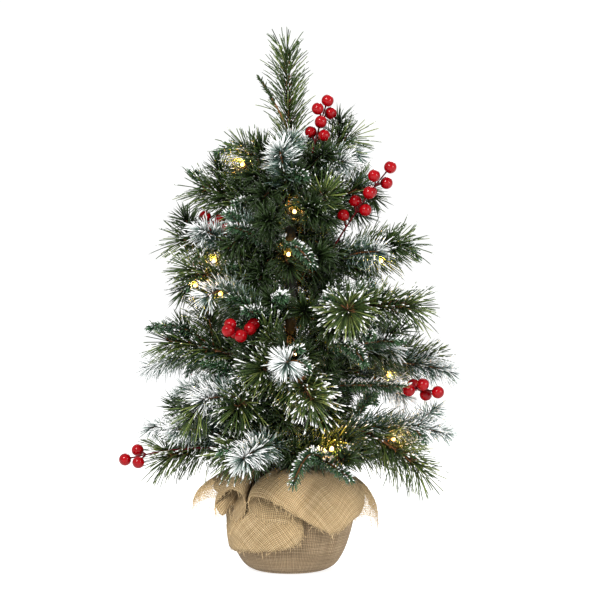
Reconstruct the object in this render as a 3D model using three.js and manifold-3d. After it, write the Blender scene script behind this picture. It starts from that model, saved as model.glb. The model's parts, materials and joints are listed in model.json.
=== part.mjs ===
// Artificial tabletop Christmas tree, 600 mm tall: a cement-filled pot wrapped in burlap carries a
// taped steel pole. Wire branches with foliage tips are lashed to the pole and bend at their roots,
// so that they fold up for storage. A battery lamp string runs up the pole and out along branches.
//
// Millimetres, +Z up. The origin is on the pole's axis, on the underside of the burlap.
// The front of the tree faces -Y, and +X is to its right.

import * as THREE from "three";
import { mergeVertices } from "three/addons/utils/BufferGeometryUtils.js";
import Module from "manifold-3d";

const wasm = await Module();
wasm.setup();

// ---------------------------------------------------------------- driving dimensions

const GAP = 0.3; // left between pieces that touch

const POT = { foot: 43, rim: 58, height: 70, wall: 1.6, floor: 2, corner: 5 };
const CEMENT_TOP = 66;
const CLOTH = 1.6; // burlap thickness
const NECK = { radius: 10, height: 97 }; // where the burlap is gathered round the pole
const TIE_WIRE = 1.6; // radius of the twine round the neck
const TIE_RISE = 2.5; // the tie sits this far above the bottom of the neck

const POLE = { radius: 5.2, wall: 0.8, foot: 12, top: 446 };
const TAPE = { radius: 7, foot: 108, top: 440 };

const HINGE = 8.7; // distance from the pole's axis to where a branch bends
const TAIL = { length: 15, drop: 2.2, out: 7.1 }; // a stem's end, lashed down the pole below its bend
const STEM = 1.4; // radius of a branch's taped wire
const WIRE = 0.8; // radius of the lamp string's twisted pair
const LAMP = { radius: 2.3, length: 11, foot: 1.8, waist: 5.5, shoulder: 9.9 };
const BERRY = 6.8; // radius of a berry
const BERRY_WIRE = 1.1;

// Radius of the slim solid that stands for a tip's needles.
const TIP_RADIUS = { pine: 3.3, flocked: 3.3, fir: 2.9 };
const STEM_BOW = 0.07; // how far a stem or a tip arches up, as a share of its length
const FIR_BOW = 0.16; // fir tips droop more

// ---------------------------------------------------------------- materials

function plastic(color, roughness = 0.6) {
  return new THREE.MeshStandardMaterial({ color, roughness, metalness: 0 });
}
const MATERIAL = {
  pot: plastic(0x3a3a38, 0.7),
  cement: plastic(0x9a9790, 0.95),
  steel: new THREE.MeshStandardMaterial({ color: 0x9a9c9e, roughness: 0.4, metalness: 1 }),
  tape: plastic(0x4a4030, 0.8),
  burlap: plastic(0xb8935f, 1),
  twine: plastic(0xa07c4a, 1),
  foliage: plastic(0x2c4a2b, 0.7),
  berry: plastic(0xb80d17, 0.25),
  lead: plastic(0x17301f, 0.5),
  case: plastic(0x1d3524, 0.5),
  cell: new THREE.MeshStandardMaterial({ color: 0x8f7d3a, roughness: 0.35, metalness: 0.6 }),
};

// ---------------------------------------------------------------- solids

const vec = (x, y, z) => new THREE.Vector3(x, y, z);

// A closed geometry as a solid that can be cut and joined.
function solidOf(geometry) {
  const bare = geometry.index ? geometry.toNonIndexed() : geometry.clone();
  const position = new THREE.BufferGeometry().setAttribute("position", bare.getAttribute("position"));
  const merged = mergeVertices(position, 1e-3);
  return new wasm.Manifold(
    new wasm.Mesh({
      numProp: 3,
      vertProperties: merged.attributes.position.array,
      triVerts: new Uint32Array(merged.index.array),
    }),
  );
}

function geometryOf(solid) {
  const mesh = solid.getMesh();
  const geometry = new THREE.BufferGeometry();
  const corners = new Float32Array(mesh.numVert * 3);
  for (let i = 0; i < mesh.numVert; i++) {
    corners.set(mesh.vertProperties.subarray(i * mesh.numProp, i * mesh.numProp + 3), i * 3);
  }
  geometry.setAttribute("position", new THREE.BufferAttribute(corners, 3));
  geometry.setIndex(new THREE.BufferAttribute(mesh.triVerts, 1));
  return geometry;
}

const joined = (...pieces) => geometryOf(pieces.map(solidOf).reduce((whole, next) => whole.add(next)));
const cut = (body, ...tools) =>
  geometryOf(tools.map(solidOf).reduce((whole, next) => whole.subtract(next), solidOf(body)));

// A profile of [radius, height] pairs turned round the Z axis.
function turned(profile, sides) {
  const points = profile.map(([r, z]) => new THREE.Vector2(r, z));
  return new THREE.LatheGeometry(points, sides).rotateX(Math.PI / 2);
}

function rod(radius, foot, top, sides = 12) {
  return turned([[0, foot], [radius, foot], [radius, top], [0, top]], sides);
}

// A bar of round section along a curve.
function tube(curve, radius, steps, sides = 5) {
  const section = new THREE.Shape();
  for (let i = 0; i < sides; i++) {
    const turn = (2 * Math.PI * i) / sides;
    section[i ? "lineTo" : "moveTo"](radius * Math.cos(turn), radius * Math.sin(turn));
  }
  section.closePath();
  return new THREE.ExtrudeGeometry(section, { steps, extrudePath: curve, curveSegments: 1 });
}

function box(low, high) {
  const [w, d, h] = high.map((top, i) => top - low[i]);
  return new THREE.BoxGeometry(w, d, h).translate(low[0] + w / 2, low[1] + d / 2, low[2] + h / 2);
}

function named(name, geometry, material) {
  const mesh = new THREE.Mesh(geometry, material);
  mesh.name = name;
  return mesh;
}

// ---------------------------------------------------------------- pot, pole and burlap

function potShell() {
  const { foot, rim, height, wall, floor, corner } = POT;
  const base = CLOTH + GAP;
  const profile = [
    [0, base],
    [foot - corner, base],
    [foot, base + corner],
    [rim, base + height],
    [rim - wall, base + height],
    [foot - wall, base + corner],
    [foot - corner - wall, base + floor],
    [0, base + floor],
  ];
  return named("pot_shell", turned(profile, 28), MATERIAL.pot);
}

function cementFill() {
  const { foot, rim, height, wall, floor, corner } = POT;
  const low = CLOTH + floor + 2 * GAP;
  const side = foot - wall - GAP;
  const knee = CLOTH + GAP + corner;
  const lip = side + ((rim - foot) * (CEMENT_TOP - knee)) / (height - corner);
  const cast = turned([[0, low], [side - corner, low], [side, knee], [lip, CEMENT_TOP], [0, CEMENT_TOP]], 28);
  const hole = rod(POLE.radius + GAP, POLE.foot - GAP, CEMENT_TOP + 1, 16);
  return named("cement_fill", cut(cast, hole), MATERIAL.cement);
}

function trunkPole() {
  const { radius, wall, foot, top } = POLE;
  const profile = [[radius - wall, foot], [radius, foot], [radius, top], [radius - wall, top]];
  return named("trunk_pole", turned([...profile, profile[0]], 16), MATERIAL.steel);
}

// The tape's sleeve, with a ridge over the tail of each branch's wire.
function trunkTape() {
  const inner = POLE.radius + GAP;
  const { radius, foot, top } = TAPE;
  const profile = [[inner, foot], [radius, foot], [radius, top], [inner, top], [inner, foot]];
  const ridges = BRANCHES.map(({ root, azimuth }) => {
    const foot = root - TAIL.drop - TAIL.length;
    const ridge = rod(STEM, foot, root - TAIL.drop, 4).translate(TAIL.out, 0, 0);
    return ridge.rotateZ(THREE.MathUtils.degToRad(azimuth));
  });
  return named("trunk_tape", joined(turned(profile, 16), ...ridges), MATERIAL.tape);
}

// The burlap square hangs over the pot in folds. Each corner is a flap that hangs lower and further out.
const FLAPS = [
  { azimuth: -108, spread: 34, out: 78, edge: 26 },
  { azimuth: -32, spread: 36, out: 92, edge: 50 },
  { azimuth: 62, spread: 34, out: 96, edge: 58 },
  { azimuth: 172, spread: 38, out: 100, edge: 62 },
];
const SKIRT = { out: 84, edge: 74, crest: 117, sag: 6 };

function skirtAt(azimuth) {
  let { out, edge } = SKIRT;
  for (const flap of FLAPS) {
    const away = (((azimuth - flap.azimuth + 540) % 360) - 180) / flap.spread;
    const share = Math.exp(-away * away);
    out += (flap.out - SKIRT.out) * share;
    edge += (flap.edge - SKIRT.edge) * share;
  }
  return { out, edge };
}

// The bag's outside from its underside to the neck, slack over the pot, and its inside back down.
const BAG = [
  [38, 0],
  [46, 3],
  [52, 12],
  [60, 32],
  [67, 54],
  [67.5, 68],
  [61, 80],
  [38, 88],
  [16, 92],
  [NECK.radius, NECK.height],
];
const LINING = [
  [NECK.radius - CLOTH, NECK.height],
  [14.4, 90.4],
  [36.4, 86.4],
  [59.4, 78.4],
  [65.9, 68],
  [65.4, 54.5],
  [58.4, 32.5],
  [50.4, 12.5],
  [44.4, 3.5],
];

// The skirt's top side from the neck to its edge, as [share of its reach, drop below its crest].
const SKIRT_TOP = [
  [0.5, 0],
  [0.84, 6],
];
const NECK_RISE = 5; // the gathered cloth stands this much above the bag's neck

// The burlap's section at one azimuth, from the middle of its underside, up the bag to the neck,
// out over the skirt to its edge, and back down the inside.
function burlapSection(azimuth) {
  const { out, edge } = skirtAt(azimuth);
  const { crest, sag } = SKIRT;
  const shoulder = (crest + edge) / 2 + sag;
  const mouth = NECK.height + NECK_RISE;
  const under = [
    [NECK.radius, mouth],
    [NECK.radius + 7, crest - 6],
    ...SKIRT_TOP.map(([share, drop]) => [out * share, crest - drop]),
    [out, shoulder],
    [out, edge],
  ];
  const top = [
    [out + CLOTH, edge],
    [out + CLOTH, shoulder + 1],
    ...SKIRT_TOP.map(([share, drop]) => [out * share + CLOTH / 2, crest - drop + CLOTH]).reverse(),
    [NECK.radius + 5, crest - 4],
    [NECK.radius - CLOTH, mouth],
  ];
  return [[0, 0], ...BAG, ...under, ...top, ...LINING, [40, CLOTH], [0, CLOTH]];
}

// A closed skin whose section changes with azimuth. Sections start and end on the Z axis.
function wrapped(sectionAt, sides) {
  const rings = Array.from({ length: sides }, (_, i) => {
    const turn = (2 * Math.PI * i) / sides;
    return sectionAt((turn * 180) / Math.PI).map(([r, z]) => vec(r * Math.cos(turn), r * Math.sin(turn), z));
  });
  const corners = [];
  rings.forEach((ring, i) => {
    const next = rings[(i + 1) % sides];
    for (let k = 0; k + 1 < ring.length; k++) {
      const faces = [[ring[k], next[k + 1], ring[k + 1]], [ring[k], next[k], next[k + 1]]];
      const real = faces.filter(([a, b, c]) => a.distanceTo(b) * b.distanceTo(c) * c.distanceTo(a) > 0);
      real.flat().forEach((p) => corners.push(p.x, p.y, p.z));
    }
  });
  return new THREE.BufferGeometry().setAttribute("position", new THREE.Float32BufferAttribute(corners, 3));
}

function burlapWrap() {
  return named("burlap_wrap", wrapped(burlapSection, 28), MATERIAL.burlap);
}

function neckTie() {
  const ring = new THREE.TorusGeometry(NECK.radius + TIE_WIRE + GAP, TIE_WIRE, 6, 20);
  return named("neck_tie", ring.translate(0, 0, NECK.height + TIE_RISE), MATERIAL.twine);
}

// ---------------------------------------------------------------- branches

// Each branch leaves the pole at height `root`, in direction `azimuth` (0 is +X, -90 the front).
// Points are [out from the pole's axis, to the left, up from the root]. `kind` is the foliage on the
// stem's own end, and each further tip leaves the stem at the share `from` of its length, with its
// own `bow` where it arches differently from the others of its kind.
// `lamps` are shares of the stem that carry a lamp, on its upper side if `over` is set.
// `berries` is a spray of that many berries on a wire between two points, its pairs `step` apart.
const BRANCHES = [
  // crown
  { name: "crown_left", root: 421, azimuth: 195, end: [70, 0, 56], kind: "pine", lamps: [0.62],
    tips: [
      { kind: "fir", from: 0.35, end: [50, -30, 24] },
    ] },
  { name: "crown_front", root: 404, azimuth: -101, end: [66, 0, 62], kind: "flocked",
    tips: [
      { kind: "fir", from: 0.3, end: [56, 28, 24] },
    ] },
  { name: "crown_right", root: 428, azimuth: 6, end: [84, 0, 61], kind: "pine",
    tips: [
      { kind: "flocked", from: 0.3, end: [66, -40, 16] },
    ],
    berries: { from: [22, -10, 26], to: [40, -16, 90], count: 7, step: 13.5 } },
  { name: "crown_back", root: 411, azimuth: 88, end: [66, 0, 56], kind: "pine",
    tips: [
      { kind: "flocked", from: 0.3, end: [60, -34, 30] },
      { kind: "pine", from: 0.3, end: [58, 34, 34] },
    ] },
  // upper
  { name: "upper_left", root: 380, azimuth: 183, end: [121, 0, 44], kind: "pine",
    tips: [
      { kind: "fir", from: 0.18, end: [62, 36, 20] },
      { kind: "pine", from: 0.35, end: [92, -36, 34] },
    ] },
  { name: "upper_right", root: 372, azimuth: -8, end: [98, 0, 58], kind: "pine",
    tips: [
      { kind: "pine", from: 0.2, end: [52, -52, 48] },
      { kind: "flocked", from: 0.35, end: [80, 36, 34] },
    ] },
  { name: "upper_front", root: 348, azimuth: -135, end: [94, 0, 28], kind: "fir",
    tips: [
      { kind: "fir", from: 0.2, end: [40, 78, -18] },
      { kind: "fir", from: 0.25, end: [60, -26, 42] },
    ] },
  { name: "upper_back", root: 366, azimuth: 96, end: [104, 0, 48], kind: "flocked",
    tips: [
      { kind: "pine", from: 0.3, end: [84, 44, 40] },
      { kind: "pine", from: 0.3, end: [82, -46, 34] },
    ] },
  // middle
  { name: "spread_left", root: 326, azimuth: 187, end: [144, 0, 40], kind: "pine", lamps: [0.5],
    tips: [
      { kind: "flocked", from: 0.35, end: [112, 34, 50] },
      { kind: "flocked", from: 0.35, end: [108, -40, 36] },
    ],
    berries: { from: [44, 4, 24], to: [94, -6, 64], count: 5, step: 15 } },
  { name: "spread_right", root: 320, azimuth: -5, end: [150, 0, 42], kind: "pine", lamps: [0.6],
    tips: [
      { kind: "flocked", from: 0.35, end: [112, -38, 28] },
      { kind: "pine", from: 0.4, end: [112, 46, 22] },
    ],
    berries: { from: [42, -12, 24], to: [112, -30, 122], count: 8, step: 19 } },
  { name: "spread_back", root: 306, azimuth: 74, end: [146, 0, 42], kind: "pine", lamps: [0.45, 0.75],
    tips: [
      { kind: "flocked", from: 0.3, end: [104, 46, 34] },
      { kind: "fir", from: 0.3, end: [96, -44, 20] },
    ] },
  { name: "centre_left", root: 284, azimuth: 200, end: [138, 0, 50], kind: "pine", lamps: [0.5, 0.72],
    tips: [
      { kind: "flocked", from: 0.35, end: [118, 40, 12] },
      { kind: "pine", from: 0.35, end: [112, -42, 40] },
    ] },
  { name: "centre_front", root: 262, azimuth: -120, end: [96, 0, 24], kind: "fir",
    tips: [
      { kind: "fir", from: 0.3, end: [78, 38, 38] },
    ],
    berries: { from: [40, -4, -6], to: [112, -10, 4], count: 6, step: 13 } },
  { name: "centre_right", root: 268, azimuth: -31, end: [172, 0, 20], kind: "pine",
    tips: [
      { kind: "pine", from: 0.4, end: [128, -98, 10] },
      { kind: "fir", from: 0.2, end: [84, -38, 34] },
    ] },
  { name: "centre_back", root: 262, azimuth: 122, end: [160, 0, 42], kind: "flocked",
    tips: [
      { kind: "pine", from: 0.35, end: [122, 48, 36] },
      { kind: "pine", from: 0.35, end: [122, -48, 34] },
    ],
    berries: { from: [46, -6, 34], to: [120, -12, 76], count: 6, step: 16 } },
  // lower
  { name: "lower_left", root: 212, azimuth: 186, end: [158, 0, 40], kind: "pine",
    tips: [
      { kind: "flocked", from: 0.4, end: [168, -42, 4] },
      { kind: "fir", from: 0.5, end: [160, 20, 54] },
    ] },
  { name: "lower_front", root: 200, azimuth: -91, end: [158, 0, 34], kind: "flocked",
    tips: [
      { kind: "pine", from: 0.3, end: [156, 34, -20] },
      { kind: "pine", from: 0.3, end: [104, -44, 20] },
    ] },
  { name: "lower_right_front", root: 222, azimuth: -38, end: [152, 0, 32], kind: "fir",
    tips: [
      { kind: "fir", from: 0.35, end: [130, -36, 6] },
      { kind: "flocked", from: 0.35, end: [126, 44, 20] },
    ] },
  { name: "lower_right", root: 194, azimuth: 3, end: [180, 0, 40], kind: "pine", lamps: [0.55],
    tips: [
      { kind: "flocked", from: 0.45, end: [190, -32, 20] },
      { kind: "fir", from: 0.08, end: [132, -72, 10], bow: 0.02 },
      { kind: "flocked", from: 0.35, end: [140, 52, 20] },
      { kind: "flocked", from: 0.35, end: [134, -34, -11] },
    ],
    berries: { from: [70, -16, 8], to: [158, -50, 4], count: 5, step: 15 } },
  { name: "lower_left_front", root: 178, azimuth: -142, end: [132, 0, 12], kind: "flocked",
    tips: [
      { kind: "pine", from: 0.35, end: [112, 42, -4] },
      { kind: "flocked", from: 0.3, end: [114, -46, 16] },
    ] },
  { name: "lower_right_back", root: 216, azimuth: 52, end: [176, 0, 30], kind: "pine", lamps: [0.5, 0.8],
    tips: [
      { kind: "flocked", from: 0.35, end: [154, 62, 24] },
      { kind: "fir", from: 0.35, end: [124, -50, 20] },
    ] },
  { name: "lower_left_back", root: 208, azimuth: 128, end: [176, 0, 34], kind: "flocked",
    tips: [
      { kind: "pine", from: 0.35, end: [154, -62, 20] },
      { kind: "pine", from: 0.35, end: [128, 50, 26] },
    ] },
  // bottom
  { name: "bottom_right", root: 142, azimuth: -8, end: [188, 0, 8], kind: "flocked", lamps: [0.55],
    tips: [
      { kind: "pine", from: 0.35, end: [166, -42, -44] },
      { kind: "pine", from: 0.35, end: [146, 50, -4] },
    ] },
  { name: "bottom_front", root: 126, azimuth: -60, end: [130, 0, -16], kind: "fir", lamps: [0.62], over: true,
    tips: [
      { kind: "fir", from: 0.55, end: [109, -62, -28], bow: 0.3 },
    ] },
  { name: "bottom_left_front", root: 134, azimuth: -111, end: [148, 0, -4], kind: "flocked",
    tips: [
      { kind: "pine", from: 0.35, end: [110, -46, -10] },
    ] },
  { name: "bottom_left", root: 148, azimuth: 186, end: [162, 0, -36], kind: "pine",
    tips: [
      { kind: "flocked", from: 0.35, end: [168, -36, 4] },
      { kind: "flocked", from: 0.35, end: [140, 44, 8] },
    ],
    berries: { from: [70, 16, -12], to: [182, 12, -24], count: 3, step: 14 } },
  { name: "bottom_right_back", root: 132, azimuth: 29, end: [174, 0, -4], kind: "pine", lamps: [0.5, 0.8],
    tips: [
      { kind: "flocked", from: 0.3, end: [136, 82, 0] },
      { kind: "pine", from: 0.35, end: [134, -34, -14] },
    ] },
  { name: "bottom_left_back", root: 140, azimuth: 151, end: [174, 0, -4], kind: "flocked",
    tips: [
      { kind: "pine", from: 0.3, end: [136, -82, -2] },
      { kind: "pine", from: 0.35, end: [136, 40, -10] },
    ] },
];

// An arch between two points that rises by `bow` times its length above the straight line.
function arch(from, to, bow) {
  const middle = from.clone().lerp(to, 0.5);
  middle.z += 2 * bow * from.distanceTo(to);
  return new THREE.QuadraticBezierCurve3(from, middle, to);
}

const stemOf = (branch) => arch(vec(HINGE + 0.4, 0, 0), vec(...branch.end), STEM_BOW);
const bowOf = (kind) => (kind === "fir" ? FIR_BOW : STEM_BOW);

// The part of a curve from one share of its length to another.
function stretch(curve, from, to) {
  const points = [0, 0.33, 0.67, 1].map((t) => curve.getPoint(from + (to - from) * t));
  return new THREE.CatmullRomCurve3(points);
}

const OWN_TIP_FROM = 0.42; // a stem's own foliage covers it from here to its end
const SIDE_WIRE_TO = 0.3; // a side tip's bare wire
const SIDE_TIP_FROM = 0.25;

function branchGeometry(branch) {
  const stem = stemOf(branch);
  const parts = [tube(stem, STEM, 3)];
  parts.push(tube(stretch(stem, OWN_TIP_FROM, 1), TIP_RADIUS[branch.kind], 2));
  for (const tip of branch.tips) {
    const curve = arch(stem.getPoint(tip.from), vec(...tip.end), tip.bow ?? bowOf(tip.kind));
    parts.push(tube(stretch(curve, 0, SIDE_WIRE_TO), STEM, 1));
    parts.push(tube(stretch(curve, SIDE_TIP_FROM, 1), TIP_RADIUS[tip.kind], 2));
  }
  return joined(...parts);
}

// ---------------------------------------------------------------- berries

const BERRY_BOW = 0.04; // how far a spray's wire arches up, as a share of its length
const PAIR_TURN = 0.9; // radians from one pair of berries to the next round the wire
const STALK = { length: 9.6, radius: 0.9, slant: 9 }; // its slant is how far back down the wire it starts

// One berry ends the wire, and the others leave it on stalks in opposite pairs, `step` apart.
function berryGeometry({ from, to, count, step }) {
  const start = vec(...from);
  const end = vec(...to);
  const wire = arch(start, end, BERRY_BOW);
  const along = end.clone().sub(start).normalize();
  const across = vec(0, 0, 1).cross(along).normalize();
  const over = along.clone().cross(across);
  const parts = [tube(wire, BERRY_WIRE, 2, 4)];
  for (let i = 0; i < count; i++) {
    const pair = Math.ceil(i / 2);
    const share = 1 - (pair * step) / start.distanceTo(end);
    const turn = Math.PI / 2 + i * Math.PI + pair * PAIR_TURN;
    const centre = wire.getPoint(share);
    if (i) {
      centre.addScaledVector(across, STALK.length * Math.cos(turn));
      centre.addScaledVector(over, STALK.length * Math.sin(turn));
      const foot = wire.getPoint(share - STALK.slant / start.distanceTo(end));
      parts.push(tube(new THREE.LineCurve3(foot, centre), STALK.radius, 1, 3));
    }
    parts.push(new THREE.SphereGeometry(BERRY, 6, 3).translate(centre.x, centre.y, centre.z));
  }
  return joined(...parts);
}

// ---------------------------------------------------------------- lamp string

// A lamp: a holder that grips the wire, and the lens on its end, leaning outward by `lean` radians.
function lamp(at, lean) {
  const { radius, length, foot, waist, shoulder } = LAMP;
  const profile = [[0, 0], [foot, 0], [radius, waist], [foot, shoulder], [0, length]];
  return turned(profile, 6).rotateY(lean).translate(at.x, at.y, at.z);
}

const LEAD_OFFSET = 8.4; // from a branch's stem to the lead that is clipped along it
const LEAD_START = 16; // how far out the lead joins the branch
const LEAD_STEPS = 5;
const LAMP_LEAN = { over: 0.6, under: 2.2 }; // from upright, in radians, above and below a stem

// How much of its offset the lead has reached at a share of the stem. It leaves the pole close to it.
const leadOpening = (share) => Math.min(1, 0.35 + 5 * share);

function leadGeometry(branch) {
  const stem = stemOf(branch);
  const side = branch.over ? 1 : -1;
  const last = Math.max(...branch.lamps);
  const at = (share) => {
    const point = stem.getPoint(share);
    point.z += side * LEAD_OFFSET * leadOpening(share);
    return point;
  };
  const first = LEAD_START / branch.end[0];
  const points = [];
  for (let i = 0; i <= LEAD_STEPS; i++) points.push(at(first + ((last - first) * i) / LEAD_STEPS));
  const lean = branch.over ? LAMP_LEAN.over : LAMP_LEAN.under;
  const lamps = branch.lamps.map((share) => lamp(at(share), lean));
  return joined(tube(new THREE.CatmullRomCurve3(points), WIRE, LEAD_STEPS, 4), ...lamps);
}

// The string's run on the pole, as [azimuth, height, radius]. One strand drops from the battery box
// down the front of the pole, and the other winds up to the crown between the branch roots.
const DOWN_STRAND = [
  [118, 188.6, 22.4], [124, 195, 20], [140, 200, 13], [165, 201, 9.8], [190, 200, 9.6], [215, 195, 9.6],
  [238, 186, 9.6], [246, 172, 9.6], [256, 158, 9.6], [266, 147, 9.6], [267, 133, 9.6], [267, 121, 9.6],
  [275, 114, 9.6], [300, 112, 9.6],
];
const UP_STRAND = [
  [170, 201.5, 9.8], [210, 199, 9.6], [232, 203, 9.6], [250, 215, 9.6], [271, 219, 9.6], [295, 226, 9.6],
  [322, 238, 9.6], [363, 242, 9.6], [412, 244, 9.6], [450, 245, 9.6], [488, 247, 9.6], [525, 252, 9.6],
  [560, 255, 9.6], [600, 247, 9.6], [645, 238, 9.6], [668, 242, 9.6], [689, 251, 9.6], [720, 266, 9.6],
  [760, 284, 9.6], [794, 290, 9.6], [830, 296, 9.6], [870, 301, 9.6], [908, 308, 9.6], [935, 321, 9.6],
  [962, 332, 9.6], [985, 348, 9.6], [1010, 354, 9.6], [1072, 350, 9.6], [1120, 348, 9.6],
  [1176, 351, 9.6], [1220, 358, 9.6], [1263, 364, 9.6], [1300, 376, 9.6], [1322, 385, 9.6],
  [1342, 388, 9.6], [1365, 395, 9.6], [1400, 400, 9.6], [1440, 404, 9.6], [1490, 402, 9.6],
  [1528, 397, 9.6], [1570, 402, 9.6], [1610, 408, 9.6], [1640, 408, 9.6], [1665, 412, 9.6],
];
// Lamps on the pole itself, as [azimuth, height].
const POLE_LAMPS = [[645, 238], [985, 348], [1365, 395], [760, 284], [1220, 358], [488, 247]];

function onPole([azimuth, height, radius]) {
  const turn = THREE.MathUtils.degToRad(azimuth);
  return vec(radius * Math.cos(turn), radius * Math.sin(turn), height);
}

const LAMP_FOOT = 10; // a pole lamp's foot, from the pole's axis

function strand(route) {
  const steps = 2 * (route.length - 1);
  return tube(new THREE.CatmullRomCurve3(route.map(onPole)), WIRE, steps, 4);
}

function harness() {
  const parts = [strand(DOWN_STRAND), strand(UP_STRAND)];
  for (const [azimuth, height] of POLE_LAMPS) {
    const body = lamp(vec(LAMP_FOOT, 0, height), Math.PI / 2);
    parts.push(body.rotateZ(THREE.MathUtils.degToRad(azimuth)));
  }
  return named("lamp_string", joined(...parts), MATERIAL.lead);
}

// ---------------------------------------------------------------- battery box

// The case clips to the back of the pole, above the burlap, with its cover facing away from the pole.
const CASE = { width: 34, height: 66, depth: 18, wall: 1.5, foot: 122, face: 11.2 };
const CLIP = { foot: 152, top: 160.5, mouth: -2.6, web: 10 }; // an open ring that snaps on the pole
const CELL = { radius: 7.1, length: 49, pip: 2.6, pipHeight: 1.5, back: 0.4 };
const COVER = { thick: 1.8, grip: { width: 14, foot: 10, top: 14, out: 1.2 } };
const SWITCH = { travel: 3, knob: 4, knobDepth: 3, knobHeight: 2, width: 7.4, depth: 4.8, thick: 1.8 };
const CONTACT = { thick: 0.8, spring: 5, coilFoot: 4.4, coilTop: 2.6, back: 1.5 };
const LAP = 0.5; // how far pieces that are joined run into each other
const PAST = 1; // how far a cutting tool passes through

const caseTop = CASE.foot + CASE.height;
const caseBack = CASE.face + CASE.depth;
const caseMiddle = CASE.face + CASE.depth / 2;
const cellFoot = CASE.foot + CASE.wall + CONTACT.thick + CONTACT.spring + 2 * GAP;

function batteryCase() {
  const { width, height, wall, foot, face } = CASE;
  const half = width / 2;
  const shell = box([-half, face, foot], [half, caseBack, foot + height]);
  const inside = box(
    [wall - half, face + wall, foot + wall],
    [half - wall, caseBack + PAST, caseTop - wall],
  );
  const reach = SWITCH.knob / 2 + SWITCH.travel + GAP;
  const deep = SWITCH.knobDepth / 2 + GAP;
  const slot = box(
    [-reach, caseMiddle - deep, caseTop - wall - PAST],
    [reach, caseMiddle + deep, caseTop + PAST],
  );
  const inner = TAPE.radius + GAP;
  const ring = rod(inner + wall, CLIP.foot, CLIP.top, 20);
  const web = box([-CLIP.web / 2, inner, CLIP.foot], [CLIP.web / 2, face + LAP, CLIP.top]);
  const pole = rod(inner, CLIP.foot - PAST, CLIP.top + PAST, 20);
  const mouth = box([-half, -half, CLIP.foot - PAST], [half, CLIP.mouth, CLIP.top + PAST]);
  const clip = cut(joined(ring, web), pole, mouth);
  return named("battery_case", joined(cut(shell, inside, slot), clip), MATERIAL.case);
}

function batteryCover() {
  const { width, foot, height } = CASE;
  const { thick, grip } = COVER;
  const inner = caseBack + GAP;
  const outer = inner + thick;
  const plate = box([-width / 2, inner, foot], [width / 2, outer, foot + height]);
  const rib = box(
    [-grip.width / 2, outer - LAP, foot + grip.foot],
    [grip.width / 2, outer + grip.out, foot + grip.top],
  );
  return named("battery_cover", joined(plate, rib), MATERIAL.case);
}

function timerSwitch() {
  const { knob, knobDepth, knobHeight, width, depth, thick } = SWITCH;
  const under = caseTop - CASE.wall - GAP;
  const slider = box(
    [-width / 2, caseMiddle - depth / 2, under - thick],
    [width / 2, caseMiddle + depth / 2, under],
  );
  const nub = box(
    [-knob / 2, caseMiddle - knobDepth / 2, under - LAP],
    [knob / 2, caseMiddle + knobDepth / 2, caseTop + knobHeight],
  );
  return named("timer_switch", joined(slider, nub), MATERIAL.pot);
}

function cell(number) {
  const { radius, length, pip, pipHeight, back } = CELL;
  const top = length + pipHeight;
  const body = turned([[0, 0], [radius, 0], [radius, length], [pip, length], [pip, top], [0, top]], 12);
  const side = number === 1 ? -1 : 1;
  const x = side * (radius + GAP);
  return named(`battery_${number}`, body.translate(x, caseMiddle + back, cellFoot), MATERIAL.cell);
}

function contactPlate(height) {
  const reach = CASE.width / 2 - CASE.wall - GAP;
  const low = [-reach, CASE.face + CASE.wall + GAP, height];
  return box(low, [reach, caseBack - CONTACT.back, height + CONTACT.thick]);
}

function springContacts() {
  const { thick, spring, coilFoot, coilTop } = CONTACT;
  const foot = CASE.foot + CASE.wall + GAP;
  const springs = [-1, 1].map((side) => {
    const low = thick - LAP;
    const high = thick + spring;
    const coil = turned([[0, low], [coilFoot, low], [coilTop, high], [0, high]], 8);
    return coil.translate(side * (CELL.radius + GAP), caseMiddle + CELL.back, foot);
  });
  return named("spring_contacts", joined(contactPlate(foot), ...springs), MATERIAL.steel);
}

function flatContacts() {
  const height = cellFoot + CELL.length + CELL.pipHeight + GAP;
  return named("flat_contacts", contactPlate(height), MATERIAL.steel);
}

// ---------------------------------------------------------------- leader

const LEADER = { foot: 430, foliage: 456, top: 592, lean: -4, radius: 6 };
const TWIG = { height: 486, end: [-34, -8, 546], radius: 2.4 };

// The leader's wire stands in the top of the pole, and carries one small twig on its left.
function leader() {
  const { foot, foliage, top, lean, radius } = LEADER;
  const bottom = vec(0, 0, foot);
  const tip = vec(lean, 0, top);
  const at = (height) => bottom.clone().lerp(tip, (height - foot) / (top - foot));
  const wire = new THREE.LineCurve3(bottom, at(foliage + radius));
  const needles = new THREE.LineCurve3(at(foliage), tip);
  const twig = new THREE.LineCurve3(at(TWIG.height), vec(...TWIG.end));
  const parts = [tube(wire, STEM, 1), tube(needles, radius, 2), tube(twig, TWIG.radius, 1)];
  return named("leader_tip", joined(...parts), MATERIAL.foliage);
}

const tree = new THREE.Group();
tree.add(potShell(), cementFill(), trunkPole(), trunkTape(), burlapWrap(), neckTie());
tree.add(leader(), harness());
tree.add(batteryCase(), batteryCover(), timerSwitch(), cell(1), cell(2), springContacts(), flatContacts());
for (const branch of BRANCHES) {
  const group = new THREE.Group();
  group.position.set(0, 0, branch.root);
  group.rotation.z = THREE.MathUtils.degToRad(branch.azimuth);
  group.add(named(`branch_${branch.name}`, branchGeometry(branch), MATERIAL.foliage));
  if (branch.berries) {
    group.add(named(`berries_${branch.name}`, berryGeometry(branch.berries), MATERIAL.berry));
  }
  if (branch.lamps) {
    group.add(named(`lamps_${branch.name}`, leadGeometry(branch), MATERIAL.lead));
  }
  tree.add(group);
}

export default tree;
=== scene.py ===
"""Looks of the artificial tabletop tree: needles, stems, berries, lamps, burlap, floor, light and camera.

Shapes are worked out in millimetres in a branch's own coordinates (out from the pole's axis, to the
left, up from its root), and turned into metres in the row frame when an object is made.
"""

import json
import math

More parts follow.
